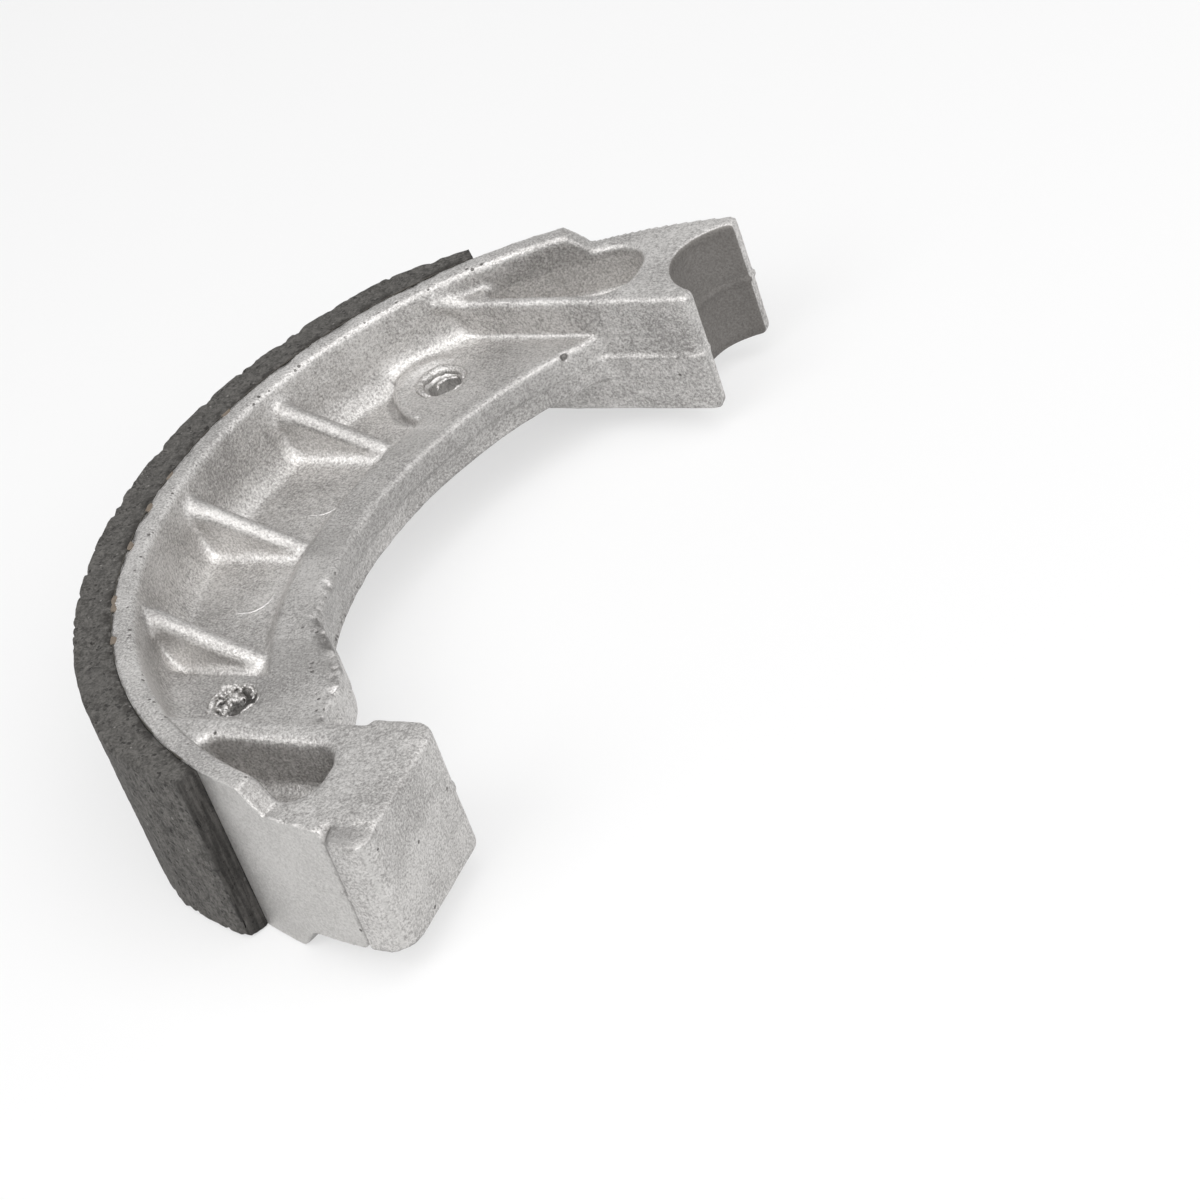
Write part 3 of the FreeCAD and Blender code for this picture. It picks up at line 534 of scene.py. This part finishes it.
# %% [markdown]
# CAD edges are razor sharp, and a casting's never are. A copy of the CAD mesh and the extra metal are
# melted into one even grid of small faces. Each vertex then moves towards the mean of its neighbours.
# That rounds every inner and outer corner alike, as metal flowing into a die does. The turned face
# is pulled back to its exact radius afterwards, because the lathe left that one true.

# %% A mesh made by a modifier
def with_modifier(mesh, kind, **settings):
    """The mesh that one modifier makes of another, which it takes the place of."""
    carrier = bpy.data.objects.new("carrier", mesh)
    bpy.context.collection.objects.link(carrier)
    modifier = carrier.modifiers.new(kind.lower(), kind)
    for key, setting in settings.items():
        setattr(modifier, key, setting)
    found = carrier.evaluated_get(bpy.context.evaluated_depsgraph_get())
    result = bpy.data.meshes.new_from_object(found)
    bpy.data.objects.remove(carrier)
    bpy.data.meshes.remove(mesh)
    return result


def rebuilt(node, added, voxel):
    """A CAD node's surface and added solids as one skin of even quads about voxel millimetres across."""
    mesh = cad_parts[node].data.copy()
    work = bmesh.new()
    work.from_mesh(mesh)
    bmesh.ops.remove_doubles(work, verts=work.verts, dist=1e-6)
    work.from_mesh(added)
    work.to_mesh(mesh)
    work.free()
    return with_modifier(mesh, "REMESH", mode="VOXEL", voxel_size=voxel * MM, adaptivity=0.0)


# %% Points, normals and neighbours of a mesh
def read_points(mesh):
    """The mesh's points in millimetres, one row for each."""
    points = np.empty(len(mesh.vertices) * 3)
    mesh.vertices.foreach_get("co", points)
    return points.reshape(-1, 3) / MM


def write_points(mesh, points):
    """Puts points in millimetres back into the mesh."""
    mesh.vertices.foreach_set("co", (points * MM).ravel())
    mesh.update()


def point_normals(mesh):
    """The mesh's normal at each point."""
    normals = np.empty(len(mesh.vertices) * 3)
    mesh.vertex_normals.foreach_get("vector", normals)
    return normals.reshape(-1, 3)


def neighbour_mean(mesh):
    """A function that gives, for each point, the mean of any values at its neighbours."""
    edges = np.empty(len(mesh.edges) * 2, np.int64)
    mesh.edges.foreach_get("vertices", edges)
    a, b = edges.reshape(-1, 2).T
    ends = np.concatenate((a, b))
    others = np.concatenate((b, a))
    count = np.bincount(ends)[:, None]

    def mean(values):
        sums = [np.bincount(ends, values[others, axis]) for axis in range(values.shape[1])]
        return np.stack(sums, axis=1) / count

    return mean


def soften(mesh, rounds, share=None, sign=1.0):
    """Each round moves every point half of the way to the mean of its neighbours.

    With a share from 0 to 1 for each point, the move is taken along the normal. Sign 1 keeps only
    what adds metal, so hollow corners widen. Sign -1 keeps only what takes it away, so edges round.
    """
    mean = neighbour_mean(mesh)
    points = read_points(mesh)
    for turn in range(rounds):
        move = 0.5 * (mean(points) - points)
        if share is not None:
            if turn % 8 == 0:
                write_points(mesh, points)
                normals = point_normals(mesh)
            along = sign * np.maximum(0.0, sign * np.sum(move * normals, axis=1)) * share
            move = normals * along[:, None]
        points = points + move
    write_points(mesh, points)


# %% Soft cast skin
VOXEL = 0.32
CAM_WALL = -44.2
skin_mesh = rebuilt("shoe_casting", extra_metal, VOXEL)
soften(skin_mesh, 4)
x, y, z = read_points(skin_mesh).T
reach = np.hypot(x, y)
by_rim = ramp(reach, 49.0, 51.5) * ramp(reach, 59.0, 58.0) * ramp(np.abs(y), 42.0, 40.0)
soften(skin_mesh, 20, by_rim)
x, y, z = read_points(skin_mesh).T
cam_wall = ramp(np.abs(y - CAM_WALL), 1.8, 0.9) * ramp(x, -12.0, -15.0) * ramp(x, -37.0, -34.5)
anchor_wall = ramp(np.abs(y - 41.0), 2.2, 1.2) * ramp(x, -14.0, -17.0)
by_edge = np.maximum(cam_wall, 0.45 * anchor_wall) * ramp(np.abs(z), 4.5, 6.0)
band_away = np.hypot(x - BAND_CENTRE[0], y - BAND_CENTRE[1])
band_edge = ramp(np.abs(band_away - BAND_INNER), 1.4, 0.7) * ramp(y, -14.0, -8.0) * ramp(y, 36.0, 33.0)
soften(skin_mesh, 26, np.maximum(by_edge, 0.5 * band_edge), -1.0)
soften(skin_mesh, 1)
print("even skin", len(skin_mesh.polygons), "quads")

# %% [markdown]
# The two halves of a die never meet perfectly. A thin fin of metal runs round the casting where they
# join, halfway across it. The half below sits back a little at the inner band and stands out a
# little at the anchor wall. Tumbling chips the thin edges. Nearly all of these are small moves of the
# points along their normals, each one a height times a mask that says where it acts. Sculpting could
# do the same, but not again on every run.

# %% How far points are from the band's chipped edge
def away_from(points, line):
    """The distance, seen along the drum's axis, from each point to the nearest stretch of a line."""
    nearest = np.full(len(points), np.inf)
    for start, stop in zip(line[:-1], line[1:]):
        start, along = np.array(start), np.subtract(stop, start)
        offset = points[:, :2] - start
        share = np.clip(offset @ along / (along @ along), 0.0, 1.0)
        nearest = np.minimum(nearest, np.hypot(*(offset - share[:, None] * along).T))
    return nearest


CHIPPED_EDGE = (
    (-34.6, -10.0), (-32.9, -16.6), (-29.5, -21.5), (-26.5, -24.2), (-24.3, -28.1), (-23.4, -32.4),
    (-23.6, -34.5))

# %% Where the marks of the die are
PIT_DIP = (-22.3, 36.7)
points = read_points(skin_mesh)
normals = point_normals(skin_mesh)
x, y, z = points.T
reach = np.hypot(x, y)
band_reach = np.hypot(x - BAND_CENTRE[0], y - BAND_CENTRE[1])
turned_face = (np.abs(reach - RIM_OUTER) < 0.3) & (y > FACE_END)
on_side = ramp(np.abs(normals[:, 2]), 0.6, 0.3)
fin_share = np.where(turned_face, ramp(x, -19.0, -14.0) * (y < 0), 1.0)
fin = on_side * ramp(np.abs(z), 0.55, 0.0) * fin_share
band_side = on_side * ramp(np.abs(band_reach - BAND_INNER), 1.2, 0.7) * ramp(np.abs(y - 0.7), 38.0, 30.0)
wall_side = on_side * ramp(np.abs(y - ANCHOR_WALL), 1.0, 0.5) * ramp(x, -33.0, -26.0)
lower_half = ramp(z, 0.3, -0.2)
chipped = ramp(away_from(points, CHIPPED_EDGE), 1.5, 0.4) * ramp(np.abs(z - BAND_HALF), 1.3, 0.3)
pit = ramp(np.hypot((x - PIT_DIP[0]) / 1.25, (y - PIT_DIP[1]) / 0.85), 1.0, 0.5) * ramp(z, 1.0, 2.2)
crease = (y < -58.0) * ramp(np.abs(x - NOSE_SIDE), 0.55, 0.2) * ramp(np.abs(z), 9.4, 8.6)
nose_top = ramp(-y, 56.8, 60.0) * ramp(x, -9.7, -9.0) * ramp(np.abs(z), 7.4, 8.4)
flash = ramp(reach, 59.2, 59.7) * ramp(x, -27.0, -24.0) * ramp(x, -9.2, -9.9) * ramp(z, 8.3, 8.6)
rim_edge = ramp(reach, 59.0, 59.7) * ramp(np.abs(z), 11.0, 11.7)
mouths = sum(
    ramp(np.hypot(x - hole[0], y - hole[1]), 4.0, 3.2) * ramp(np.abs(z), 1.0, 2.4)
    for hole in (ANCHOR_HOLE, CAM_HOLE))
pocket = ramp(np.abs(y), 43.0, 44.5) * ramp(reach, 57.5, 56.5) * ramp(np.abs(z), 8.4, 7.6)
print("points with a fin", int((fin > 0).sum()), "and with chips", int((chipped > 0).sum()))


# %% Marks of the die
def inside(points, box):
    """Points held a micrometre inside a box in metres, so that no piece passes the CAD box."""
    low, high = (np.array(corner) / MM for corner in box)
    return np.clip(points, low + 0.001, high - 0.001)


def turned_true(points, mask):
    """Moves the points of a mask straight out or in, to the radius that the lathe left."""
    reach = np.hypot(points[:, 0], points[:, 1])
    points[:, :2] *= np.where(mask, RIM_OUTER / reach, 1.0)[:, None]


wander = 0.05 * lumps(points, 7.0, 1) + (0.03 + 0.05 * pocket) * lumps(points, 1.5, 2)
move = np.where(turned_face, 0.0, wander)
move += 0.26 * fin * (1.0 + 0.6 * lumps(points, 2.5, 3)) + lower_half * (0.35 * wall_side - 0.45 * band_side)
move -= chipped * (peaks(points, 2.0, 4) + 0.5 * peaks(points, 1.0, 10))
move -= 0.25 * pit + 0.4 * crease
move -= 0.35 * rim_edge * peaks(points, 2.1, 5, 0.1)
move += 0.10 * mouths * lumps(points, 0.9, 6)
points = points + normals * move[:, None]
points[:, 2] += 0.30 * flash * (y < 0) * peaks(points, 0.9, 7, -0.5) - 0.8 * np.sign(z) * nose_top
casting_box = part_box("shoe_casting")
points = inside(points, casting_box)
turned_true(points, turned_face & (fin < 0.01) & (crease < 0.01))
write_points(skin_mesh, points)
print("largest move in mm", round(float(np.abs(move).max()), 2))


# %% Fewer faces, the worn edges and the painted shade in the nose's crease
def on_fin(points):
    """Where the fin crosses the turned face, beside the cam."""
    return (np.abs(points[:, 2]) < 0.8) & (points[:, 0] > -20.0) & (points[:, 1] < 0)


MOST_TRIANGLES = 192000
fewer = min(1.0, MOST_TRIANGLES / (2 * len(skin_mesh.polygons)))
skin_mesh = with_modifier(skin_mesh, "DECIMATE", ratio=fewer)
points = read_points(skin_mesh)
reach = np.hypot(points[:, 0], points[:, 1])
turned_true(points, (np.abs(reach - RIM_OUTER) < 0.12) & (points[:, 1] > FACE_END) & ~on_fin(points))
points = inside(points, casting_box)
write_points(skin_mesh, points)
normals = point_normals(skin_mesh)
x, y, z = points.T
worn_and_shade = ramp(away_from(points, CHIPPED_EDGE), 1.5, 0.3) * ramp(np.abs(z - BAND_HALF), 1.5, 0.3)
worn_and_shade *= ramp(lumps(points, 0.9, 8) + lumps(points, 2.6, 9), -0.15, 0.35)
# Painted shade: the crease beside the nose is darkened through the same number as the chips.
nose_crease_shade = (y < -58.0) * ramp(np.abs(x - NOSE_SIDE), 0.45, 0.15) * ramp(np.abs(z), 9.0, 8.4)
paint(skin_mesh, "worn_and_shade", np.maximum(worn_and_shade, 0.7 * nose_crease_shade))
add_piece("casting_skin", skin_mesh, cast, "cast_metal", "shoe_casting")

# %% [markdown]
# Where the thinned mesh lies on the turned face, narrow triangles tilt its shading normals, and a
# shiny face shows that as streaks. More triangles would cost too much. The true normal of a cylinder
# is known, so each corner there is simply given it.

# %% True normals on the turned face
def outward(points):
    """The level direction from the drum's axis through each point."""
    return points * (1.0, 1.0, 0.0) / np.hypot(points[:, 0], points[:, 1])[:, None]


def face_values(mesh, name):
    """Three numbers for each face, read under their name."""
    values = np.empty(len(mesh.polygons) * 3)
    mesh.polygons.foreach_get(name, values)
    return values.reshape(-1, 3)


corner_points = np.empty(len(skin_mesh.loops), np.int64)
skin_mesh.loops.foreach_get("vertex_index", corner_points)
corners = np.empty(len(skin_mesh.polygons), np.int64)
skin_mesh.polygons.foreach_get("loop_total", corners)
centres = face_values(skin_mesh, "center") / MM
on_face = np.abs(np.hypot(centres[:, 0], centres[:, 1]) - RIM_OUTER) < 0.15
on_face &= np.sum(face_values(skin_mesh, "normal") * outward(centres), axis=1) > 0.985
on_face &= (centres[:, 1] > FACE_END) & ~on_fin(centres)
corner_on_face = np.repeat(on_face, corners)
corner_normals = np.where(corner_on_face[:, None], outward(points)[corner_points], normals[corner_points])
skin_mesh.normals_split_custom_set(corner_normals.tolist())
print("faces with the lathe's true normal", int(on_face.sum()))

# %% [markdown]
# A drill pushed through the spring holes left bright torn metal round their mouths. It is made of a
# few strands that wander round each hole, thick in the middle and thin at their ends, because moving
# the skin's own points can't make lips that curl over.

# %% Torn lips of the spring holes
TORN_DARK, TORN_PALE = (0.30, 0.29, 0.28), (0.70, 0.685, 0.67)
torn = Finish("torn_metal")
fine = torn.noise(torn.place(), 0.25, detail=3.0)
torn.feed(torn.shader, {
    "Base Color": torn.mix(fine.between(0.3, 0.7), TORN_DARK, TORN_PALE),
    "Metallic": 0.88,
    "Roughness": 0.34 + fine * 0.2,
    "Normal": torn.bump(fine, 0.12)})


def curl(hole, shift, sweep, reach, drift, lift, thick, wild, seed):
    """A strand of torn metal, an arc about a point that is shifted from the hole's centre.

    Its distance from that point runs from reach to reach plus drift, and its path and thickness
    wander, more so where it is wild. Its thickness follows the root of half a sine wave.
    """
    share = np.linspace(0.0, 1.0, 90)
    turn = np.radians(sweep[0] + (sweep[1] - sweep[0]) * share)
    line = np.stack((np.cos(turn), np.sin(turn), np.zeros(90)), axis=1)
    out = reach + drift * share + 0.30 * wild * lumps(line, 0.35, seed)
    height = BAND_HALF + lift + 0.28 * wild * lumps(line, 0.30, seed + 1)
    wavy = 1.0 + 0.35 * min(wild, 1.2) * lumps(line, 0.15, seed + 2)
    radius = thick * (0.02 + np.sqrt(np.sin(np.pi * share))) * wavy
    across = hole[0] + shift[0] + out * np.cos(turn)
    along = hole[1] + shift[1] + out * np.sin(turn)
    return tube(np.stack((across, along, height), axis=1), radius, 8)


# Each strand's hole, shift, sweep in degrees, reach, drift, lift, thickness, wildness and seed.
CURLS = (
    (ANCHOR_HOLE, (-0.2, 0.0), (15, 265), 2.95, 0.15, -0.10, 0.75, 0.30, 31),
    (ANCHOR_HOLE, (0.3, 0.2), (60, 220), 1.7, -0.4, -0.70, 0.34, 0.7, 34),
    (ANCHOR_HOLE, (0.0, 0.0), (-70, 15), 2.6, 0.1, -0.35, 0.22, 0.5, 37),
    (CAM_HOLE, (-0.2, 0.0), (70, 250), 2.9, 0.2, -0.15, 0.46, 1.1, 41),
    (CAM_HOLE, (-1.2, 0.3), (30, 200), 1.7, -0.5, 0.00, 0.32, 1.4, 44),
    (CAM_HOLE, (-1.4, -0.8), (60, 260), 1.4, 0.5, 0.00, 0.28, 1.4, 47),
    (CAM_HOLE, (0.2, 0.7), (-10, 150), 1.6, 0.3, -0.15, 0.26, 1.4, 50),
    (CAM_HOLE, (-0.6, -0.2), (100, 280), 1.2, 0.8, -0.35, 0.28, 1.4, 53),
    (CAM_HOLE, (0.4, -0.5), (80, 200), 1.5, -0.5, -0.55, 0.34, 1.3, 56),
    (CAM_HOLE, (-0.9, 0.5), (10, 190), 0.9, 0.2, -0.95, 0.75, 0.8, 62),
    (CAM_HOLE, (-0.3, -0.4), (120, 300), 1.3, 0.3, -1.15, 0.70, 0.8, 65),
    (CAM_HOLE, (0.0, 0.0), (-60, 60), 2.6, 0.1, -0.30, 0.22, 0.8, 59))
lip_mesh = closed_mesh("torn_lips", [curl(*one) for one in CURLS])
add_piece("torn_lips", lip_mesh, torn, "cast_metal")

# %% [markdown]
# The lining is a moulded mix of fibres, resin and metal chips, so it is dark and dull, with black
# pores and pale or coppery specks, and its edges crumble. Noise makes its dark ground, and cells with
# a round speck in some of them make what is mixed in, each at its own size.

# %% Friction mix
MIX_DARK, MIX_PALE, MIX_CLOUD = (0.040, 0.038, 0.035), (0.170, 0.162, 0.152), (0.115, 0.110, 0.104)
CHIP_TONE, COPPER_TONE, PORE_TONE = (0.34, 0.325, 0.31), (0.40, 0.235, 0.19), (0.014, 0.013, 0.012)
EDGE_TONE, JOINT_TONE = (0.030, 0.028, 0.026), (0.016, 0.014, 0.012)
CUT_SHADE_DARK, CUT_SHADE_PALE = (0.012, 0.011, 0.010), (0.075, 0.070, 0.066)
mix = Finish("friction_mix")
place = mix.place()
crumb = mix.noise(place, 0.36, detail=3.0, rough=0.7)
lump = mix.noise(place, 1.3, detail=2.0)
clouds = mix.noise(place, 7.0, detail=2.0)
strands = mix.noise(mix.place((1.0, 1.0, 0.3)), 0.55, detail=2.0)
x, y, z = mix.axes(place)
on_edge = z.size().between(11.4, 11.7)
grit = mix.specks(place, 0.95, 0.26, 0.42)
pores = (mix.noise(place, 0.9, detail=2.0, rough=0.6).between(0.36, 0.30)).most(grit * 0.8)
pale = mix.specks(mix.place((1.0, 1.0, 0.6)), 1.35, 0.20, 0.40)
copper = mix.specks(place, 4.6, 0.42, 0.30)
tone = crumb * 0.6 + lump * 0.25 + strands * 0.25
skin = mix.mix(tone.between(0.40, 0.72), MIX_DARK, MIX_PALE)
skin = mix.mix(clouds.between(0.35, 0.7) * 0.25, skin, MIX_CLOUD)
skin = mix.mix(pale * 0.65, skin, CHIP_TONE)
skin = mix.mix(copper * 0.75, skin, COPPER_TONE)
skin = mix.mix(pores * 0.75, skin, PORE_TONE)
skin = mix.mix(on_edge * 0.18, skin, EDGE_TONE)
by_joint = distance(x, y).between(61.6, 60.4) * on_edge
crumbled = by_joint * mix.noise(place, 1.6, detail=3.0, rough=0.6).between(0.44, 0.56)
skin = mix.mix(crumbled * 0.75, skin, JOINT_TONE)
# The lining's cut ends carry scrapes, and their dark tone is partly painted shade.
cut_and_shade = mix.painted("cut_and_shade")
scrapes = mix.noise(mix.place((1.0, 1.0, 0.10)), 0.55, detail=3.0)
skin = mix.mix(cut_and_shade * 0.75, skin, mix.mix(scrapes.between(0.38, 0.68), CUT_SHADE_DARK, CUT_SHADE_PALE))
height = crumb * 0.5 + lump * 0.3 + strands * 0.15 - pores * 0.6 + pale * 0.1 + cut_and_shade * scrapes * 0.8
mix.feed(mix.shader, {
    "Base Color": skin,
    "Roughness": 0.78 + crumb * 0.15,
    "Specular IOR Level": 0.35,
    "Normal": mix.bump(height, 0.20)})
print("friction mix", len(mix.nodes), "nodes")

# %% [markdown]
# The lining's section is a rounded rectangle carried round the drum's axis, and its ends taper a
# little, so that the shoe doesn't grab. Its points are then moved by noise, in towards the joint and
# the middle only, because what has crumbled away is missing.

# %% Section of the lining
def rounded_section(low_r, high_r, half, edge, step):
    """Points round a rectangle with rounded corners, as offsets from its middle, evenly spaced.

    Each corner is a quarter circle of radius edge, and straight sides join them.
    """
    wide, tall = (high_r - low_r) / 2 - edge, half - edge
    corners = []
    for turn, (sx, sz) in enumerate(((1, 1), (-1, 1), (-1, -1), (1, -1))):
        angle = np.radians(90 * turn + np.linspace(0, 90, 5))
        across, along = sx * wide + edge * np.cos(angle), sz * tall + edge * np.sin(angle)
        corners.append(np.stack((across, along), axis=1))
    ring = np.concatenate(corners)
    ring = np.vstack((ring, ring[:1]))
    run = np.concatenate(([0.0], np.cumsum(np.hypot(*np.diff(ring, axis=0).T))))
    even = np.linspace(0.0, run[-1], int(run[-1] / step), endpoint=False)
    return np.stack((np.interp(even, run, ring[:, 0]), np.interp(even, run, ring[:, 1])), axis=1)


EDGE_RADIUS, SECTION_STEP, ROUND_STEP = 0.35, 0.42, 0.45
section = rounded_section(RIM_OUTER, LINING_OUTER, LINING_HALF, EDGE_RADIUS, SECTION_STEP)
print("lining section", len(section), "points")

# %% Lining with its two bevels
middle = (RIM_OUTER + LINING_OUTER) / 2
half_thick = (LINING_OUTER - RIM_OUTER) / 2
first, last = (math.radians(a) for a in LINING_ANGLES)
count = int((last - first) * LINING_OUTER / ROUND_STEP)
angles = np.linspace(first, last, count)
caps = np.linspace(0.0, 1.0, 7)[:-1]
angles = np.concatenate((np.full(len(caps), first), angles, np.full(len(caps), last)))
fullness = np.concatenate((caps, np.ones(count), caps[::-1]))
to_end = np.minimum(angles - first, last - angles) * LINING_OUTER
taper = BEVEL_DROP * (1.0 - ramp(to_end, 0.0, BEVEL_RUN))
out = section[None, :, 0] * fullness[:, None]
along = section[None, :, 1] * fullness[:, None]
outer_share = ramp(out, -half_thick, half_thick)
out = out - outer_share * taper[:, None]
radius = middle + out
grid = np.stack((-radius * np.sin(angles)[:, None], radius * np.cos(angles)[:, None], along), axis=-1)
flat = grid.reshape(-1, 3)
print("lining grid", grid.shape[:2])

# %% Crumbled edges of the lining
edge_near = ramp(np.abs(along), LINING_HALF - 1.3, LINING_HALF).ravel()
outside = outer_share.ravel()
end_near = (1.0 - ramp(to_end, 0.0, 1.2))[:, None] * np.ones_like(out)
rough = 0.05 * lumps(flat, 1.1, 11) + 0.04 * lumps(flat, 0.6, 12) + 0.05 * lumps(flat, 5.0, 13)
chips = 0.5 * peaks(flat, 2.2, 14, 0.2) + 0.8 * peaks(flat, 0.9, 15, 0.2)
bite = edge_near * (0.25 + 0.75 * outside) * chips * 0.75
inward = rough * outside - bite * 0.6 - end_near.ravel() * outside * chips * 0.5
inward = inward * np.repeat(fullness, len(section))
sink = (rough - bite) * edge_near
unit = flat[:, :2] / np.hypot(*flat[:, :2].T)[:, None]
flat[:, :2] += unit * inward[:, None]
flat[:, 2] += np.sign(flat[:, 2]) * sink
flat = inside(flat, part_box("friction_lining"))
lining_mesh = closed_mesh("lining_skin", [(flat, tube_faces(*grid.shape[:2]))])
points = read_points(lining_mesh)
angle = np.arctan2(-points[:, 0], points[:, 1])
from_end = np.minimum(angle - first, last - angle) * LINING_OUTER + 0.25 * lumps(points, 1.2, 16)
# Marks the cut ends, whose dark tone is partly painted shade.
paint(lining_mesh, "cut_and_shade", ramp(from_end, 0.8, 0.2))
add_piece("lining_skin", lining_mesh, mix, "friction_mix", "friction_lining")

# %% [markdown]
# The lining is pressed onto hot glue, and a little is squeezed out along both sides of the joint. It
# dries brown in the drops, and between them the thin film of glue is near black, as painted shade in
# the joint. The bead's section is a flat ellipse carried along the joint, thin nearly everywhere, and
# a bell curve round a few angles swells it to the drops that show.

# %% Glue along the joint
GLUE_DARK, GLUE_PALE, FILM_SHADE_TONE = (0.085, 0.065, 0.048), (0.23, 0.185, 0.14), (0.035, 0.030, 0.022)
glue = Finish("dried_glue")
fine = glue.noise(glue.place(), 0.5, detail=2.0)
brown = glue.mix(fine, GLUE_DARK, GLUE_PALE)
# Painted shade: the film between the drops is near black, as the joint's shade.
glue.feed(glue.shader, {
    "Base Color": glue.mix(glue.painted("drop").between(0.1, 0.5), FILM_SHADE_TONE, brown),
    "Roughness": 0.45,
    "Normal": glue.bump(fine, 0.05)})
print("dried glue", len(glue.nodes), "nodes")

# %% Beads of glue
DROPS = {1: (77.8, 90.5, 96.7, 104.1, 114.6, 116.2, 122.7), -1: (58.0, 84.0, 101.5, 131.0)}
DROP_HALF = 0.75
MOST_DEPTH = 0.16


def drop_share(angle, side):
    """1 in the middle of each drop and 0 outside: the sum of e^-(s/w)^4, with s along the joint."""
    away = (angle[..., None] - np.radians(DROPS[side])) * RIM_OUTER
    return np.sum(np.exp(-(away / DROP_HALF) ** 4), axis=-1)


def glue_bead(side, seed):
    """A flat ellipse carried along the joint. Its width is a thin film plus a swelling at each drop."""
    angle = np.radians(np.linspace(LINING_ANGLES[0] + 0.3, LINING_ANGLES[1] - 0.3, 900))
    line = np.stack((np.cos(angle), np.sin(angle), np.full_like(angle, side)), axis=1) * RIM_OUTER
    film = 0.05 + 0.08 * lumps(line, 2.2, seed) + 0.05 * lumps(line, 0.8, seed + 1)
    drop = (0.42 + 0.15 * lumps(line, 5.0, seed + 2)) * drop_share(angle, side)
    wide = np.maximum(film, 0.02) + drop
    wide *= np.minimum(1.0, np.minimum(angle - angle[0], angle[-1] - angle) * 60)
    turn = np.arange(12) * 2 * np.pi / 12
    radius = RIM_OUTER - 0.55 * drop[:, None] + wide[:, None] * np.cos(turn)
    depth = np.minimum(MOST_DEPTH, wide)[:, None] * (np.sin(turn) - 1.0)
    height = side * (RIM_HALF - 0.012 + depth)
    across, along = -radius * np.sin(angle)[:, None], radius * np.cos(angle)[:, None]
    return carried(np.stack((across, along, height), axis=-1))


bead_mesh = closed_mesh("glue_bead", [glue_bead(1, 21), glue_bead(-1, 25)])
x, y, z = read_points(bead_mesh).T
angle = np.arctan2(-x, y)
share = np.where(z > 0, drop_share(angle, 1), drop_share(angle, -1))
paint(bead_mesh, "drop", share)
add_piece("glue_bead", bead_mesh, glue, "friction_mix")

# %% [markdown]
# The light is soft, as on a product table. The strong lamp stands near the camera and above it: the
# photograph's brightest places are the fillets that face the camera, and a broad lamp there finds
# them. A weaker one at the front left lights the lining's side, and a faint one at the right rear
# reaches into the seat. They are area lamps, because a lamp's size sets how soft its shadows are.

# %% Lamps
def lamp(name, at, aim, size, power):
    """A square area lamp in metres that points from one place to another."""
    data = bpy.data.lights.new(name, "AREA")
    data.size = size
    data.energy = power
    made = bpy.data.objects.new(name, data)
    made.location = at
    made.rotation_euler = (Vector(aim) - Vector(at)).to_track_quat("-Z", "Y").to_euler()
    bpy.context.collection.objects.link(made)


shoe_middle = (-0.033, 0.0, 0.0)
lamp("key", (0.34, -0.16, 0.62), shoe_middle, 0.95, 5.3)
lamp("front_left", (-0.20, -0.56, 0.58), shoe_middle, 0.50, 2.4)
lamp("right_rear", (0.62, 0.40, 0.20), shoe_middle, 0.45, 0.3)
print("lamps", len(bpy.data.lights))

# %% [markdown]
# A photographer's table and sky are overexposed, but light that strong would bleach the metal. So
# only the rays that show a background, from the camera and through gloss or glass, see them bright.
# All other rays meet a pale floor, which keeps the shoe's shadow, and a world at a plain level.

# %% Floor and surround
WHITE, SKY_TONE, FLOOR_TONE = (1.0, 1.0, 1.0, 1.0), (0.8, 0.8, 0.8, 1.0), (0.86, 0.86, 0.86, 1.0)
FLOOR_HALF, FLOOR_HEIGHT = 3.0, -0.0121
SOFT_LIGHT = 0.36


def background_rays(tree):
    """1 for camera, glossy and transmission rays, and 0 for all others."""
    kinds = ("Is Camera Ray", "Is Glossy Ray", "Is Transmission Ray")
    return reduce(Wire.most, [tree.add("ShaderNodeLightPath", output=kind) for kind in kinds])


floor_finish = Finish("pale_floor")
floor_finish.feed(floor_finish.shader, {"Base Color": FLOOR_TONE, "Roughness": 0.9})
glow = floor_finish.add("ShaderNodeEmission", None, {"Color": WHITE, "Strength": 1.0})
plain = Wire(floor_finish, floor_finish.shader.outputs[0])
share = background_rays(floor_finish) * 0.6
both = floor_finish.add("ShaderNodeMixShader", None, {0: share, 1: plain, 2: glow})
floor_finish.feed(floor_finish.output, {0: both})
corners = [(a * FLOOR_HALF, b * FLOOR_HALF, FLOOR_HEIGHT) for a, b in ((-1, -1), (1, -1), (1, 1), (-1, 1))]
floor_mesh = bpy.data.meshes.new("floor")
floor_mesh.from_pydata(corners, [], [(0, 1, 2, 3)])
floor_mesh.materials.append(floor_finish.material)
floor = bpy.data.objects.new("floor", floor_mesh)
bpy.context.collection.objects.link(floor)

world = bpy.data.worlds.new("studio")
bpy.context.scene.world = world
world.use_nodes = True
sky = Nodes(world.node_tree)
soft = sky.add("ShaderNodeBackground", None, {"Color": WHITE, "Strength": SOFT_LIGHT})
bright = sky.add("ShaderNodeBackground", None, {"Color": SKY_TONE, "Strength": 1.0})
either = sky.add("ShaderNodeMixShader", None, {0: background_rays(sky), 1: soft, 2: bright})
sky.feed(sky.nodes.new("ShaderNodeOutputWorld"), {0: either})
print("floor", len(floor_finish.nodes), "nodes and world", len(sky.nodes), "nodes")
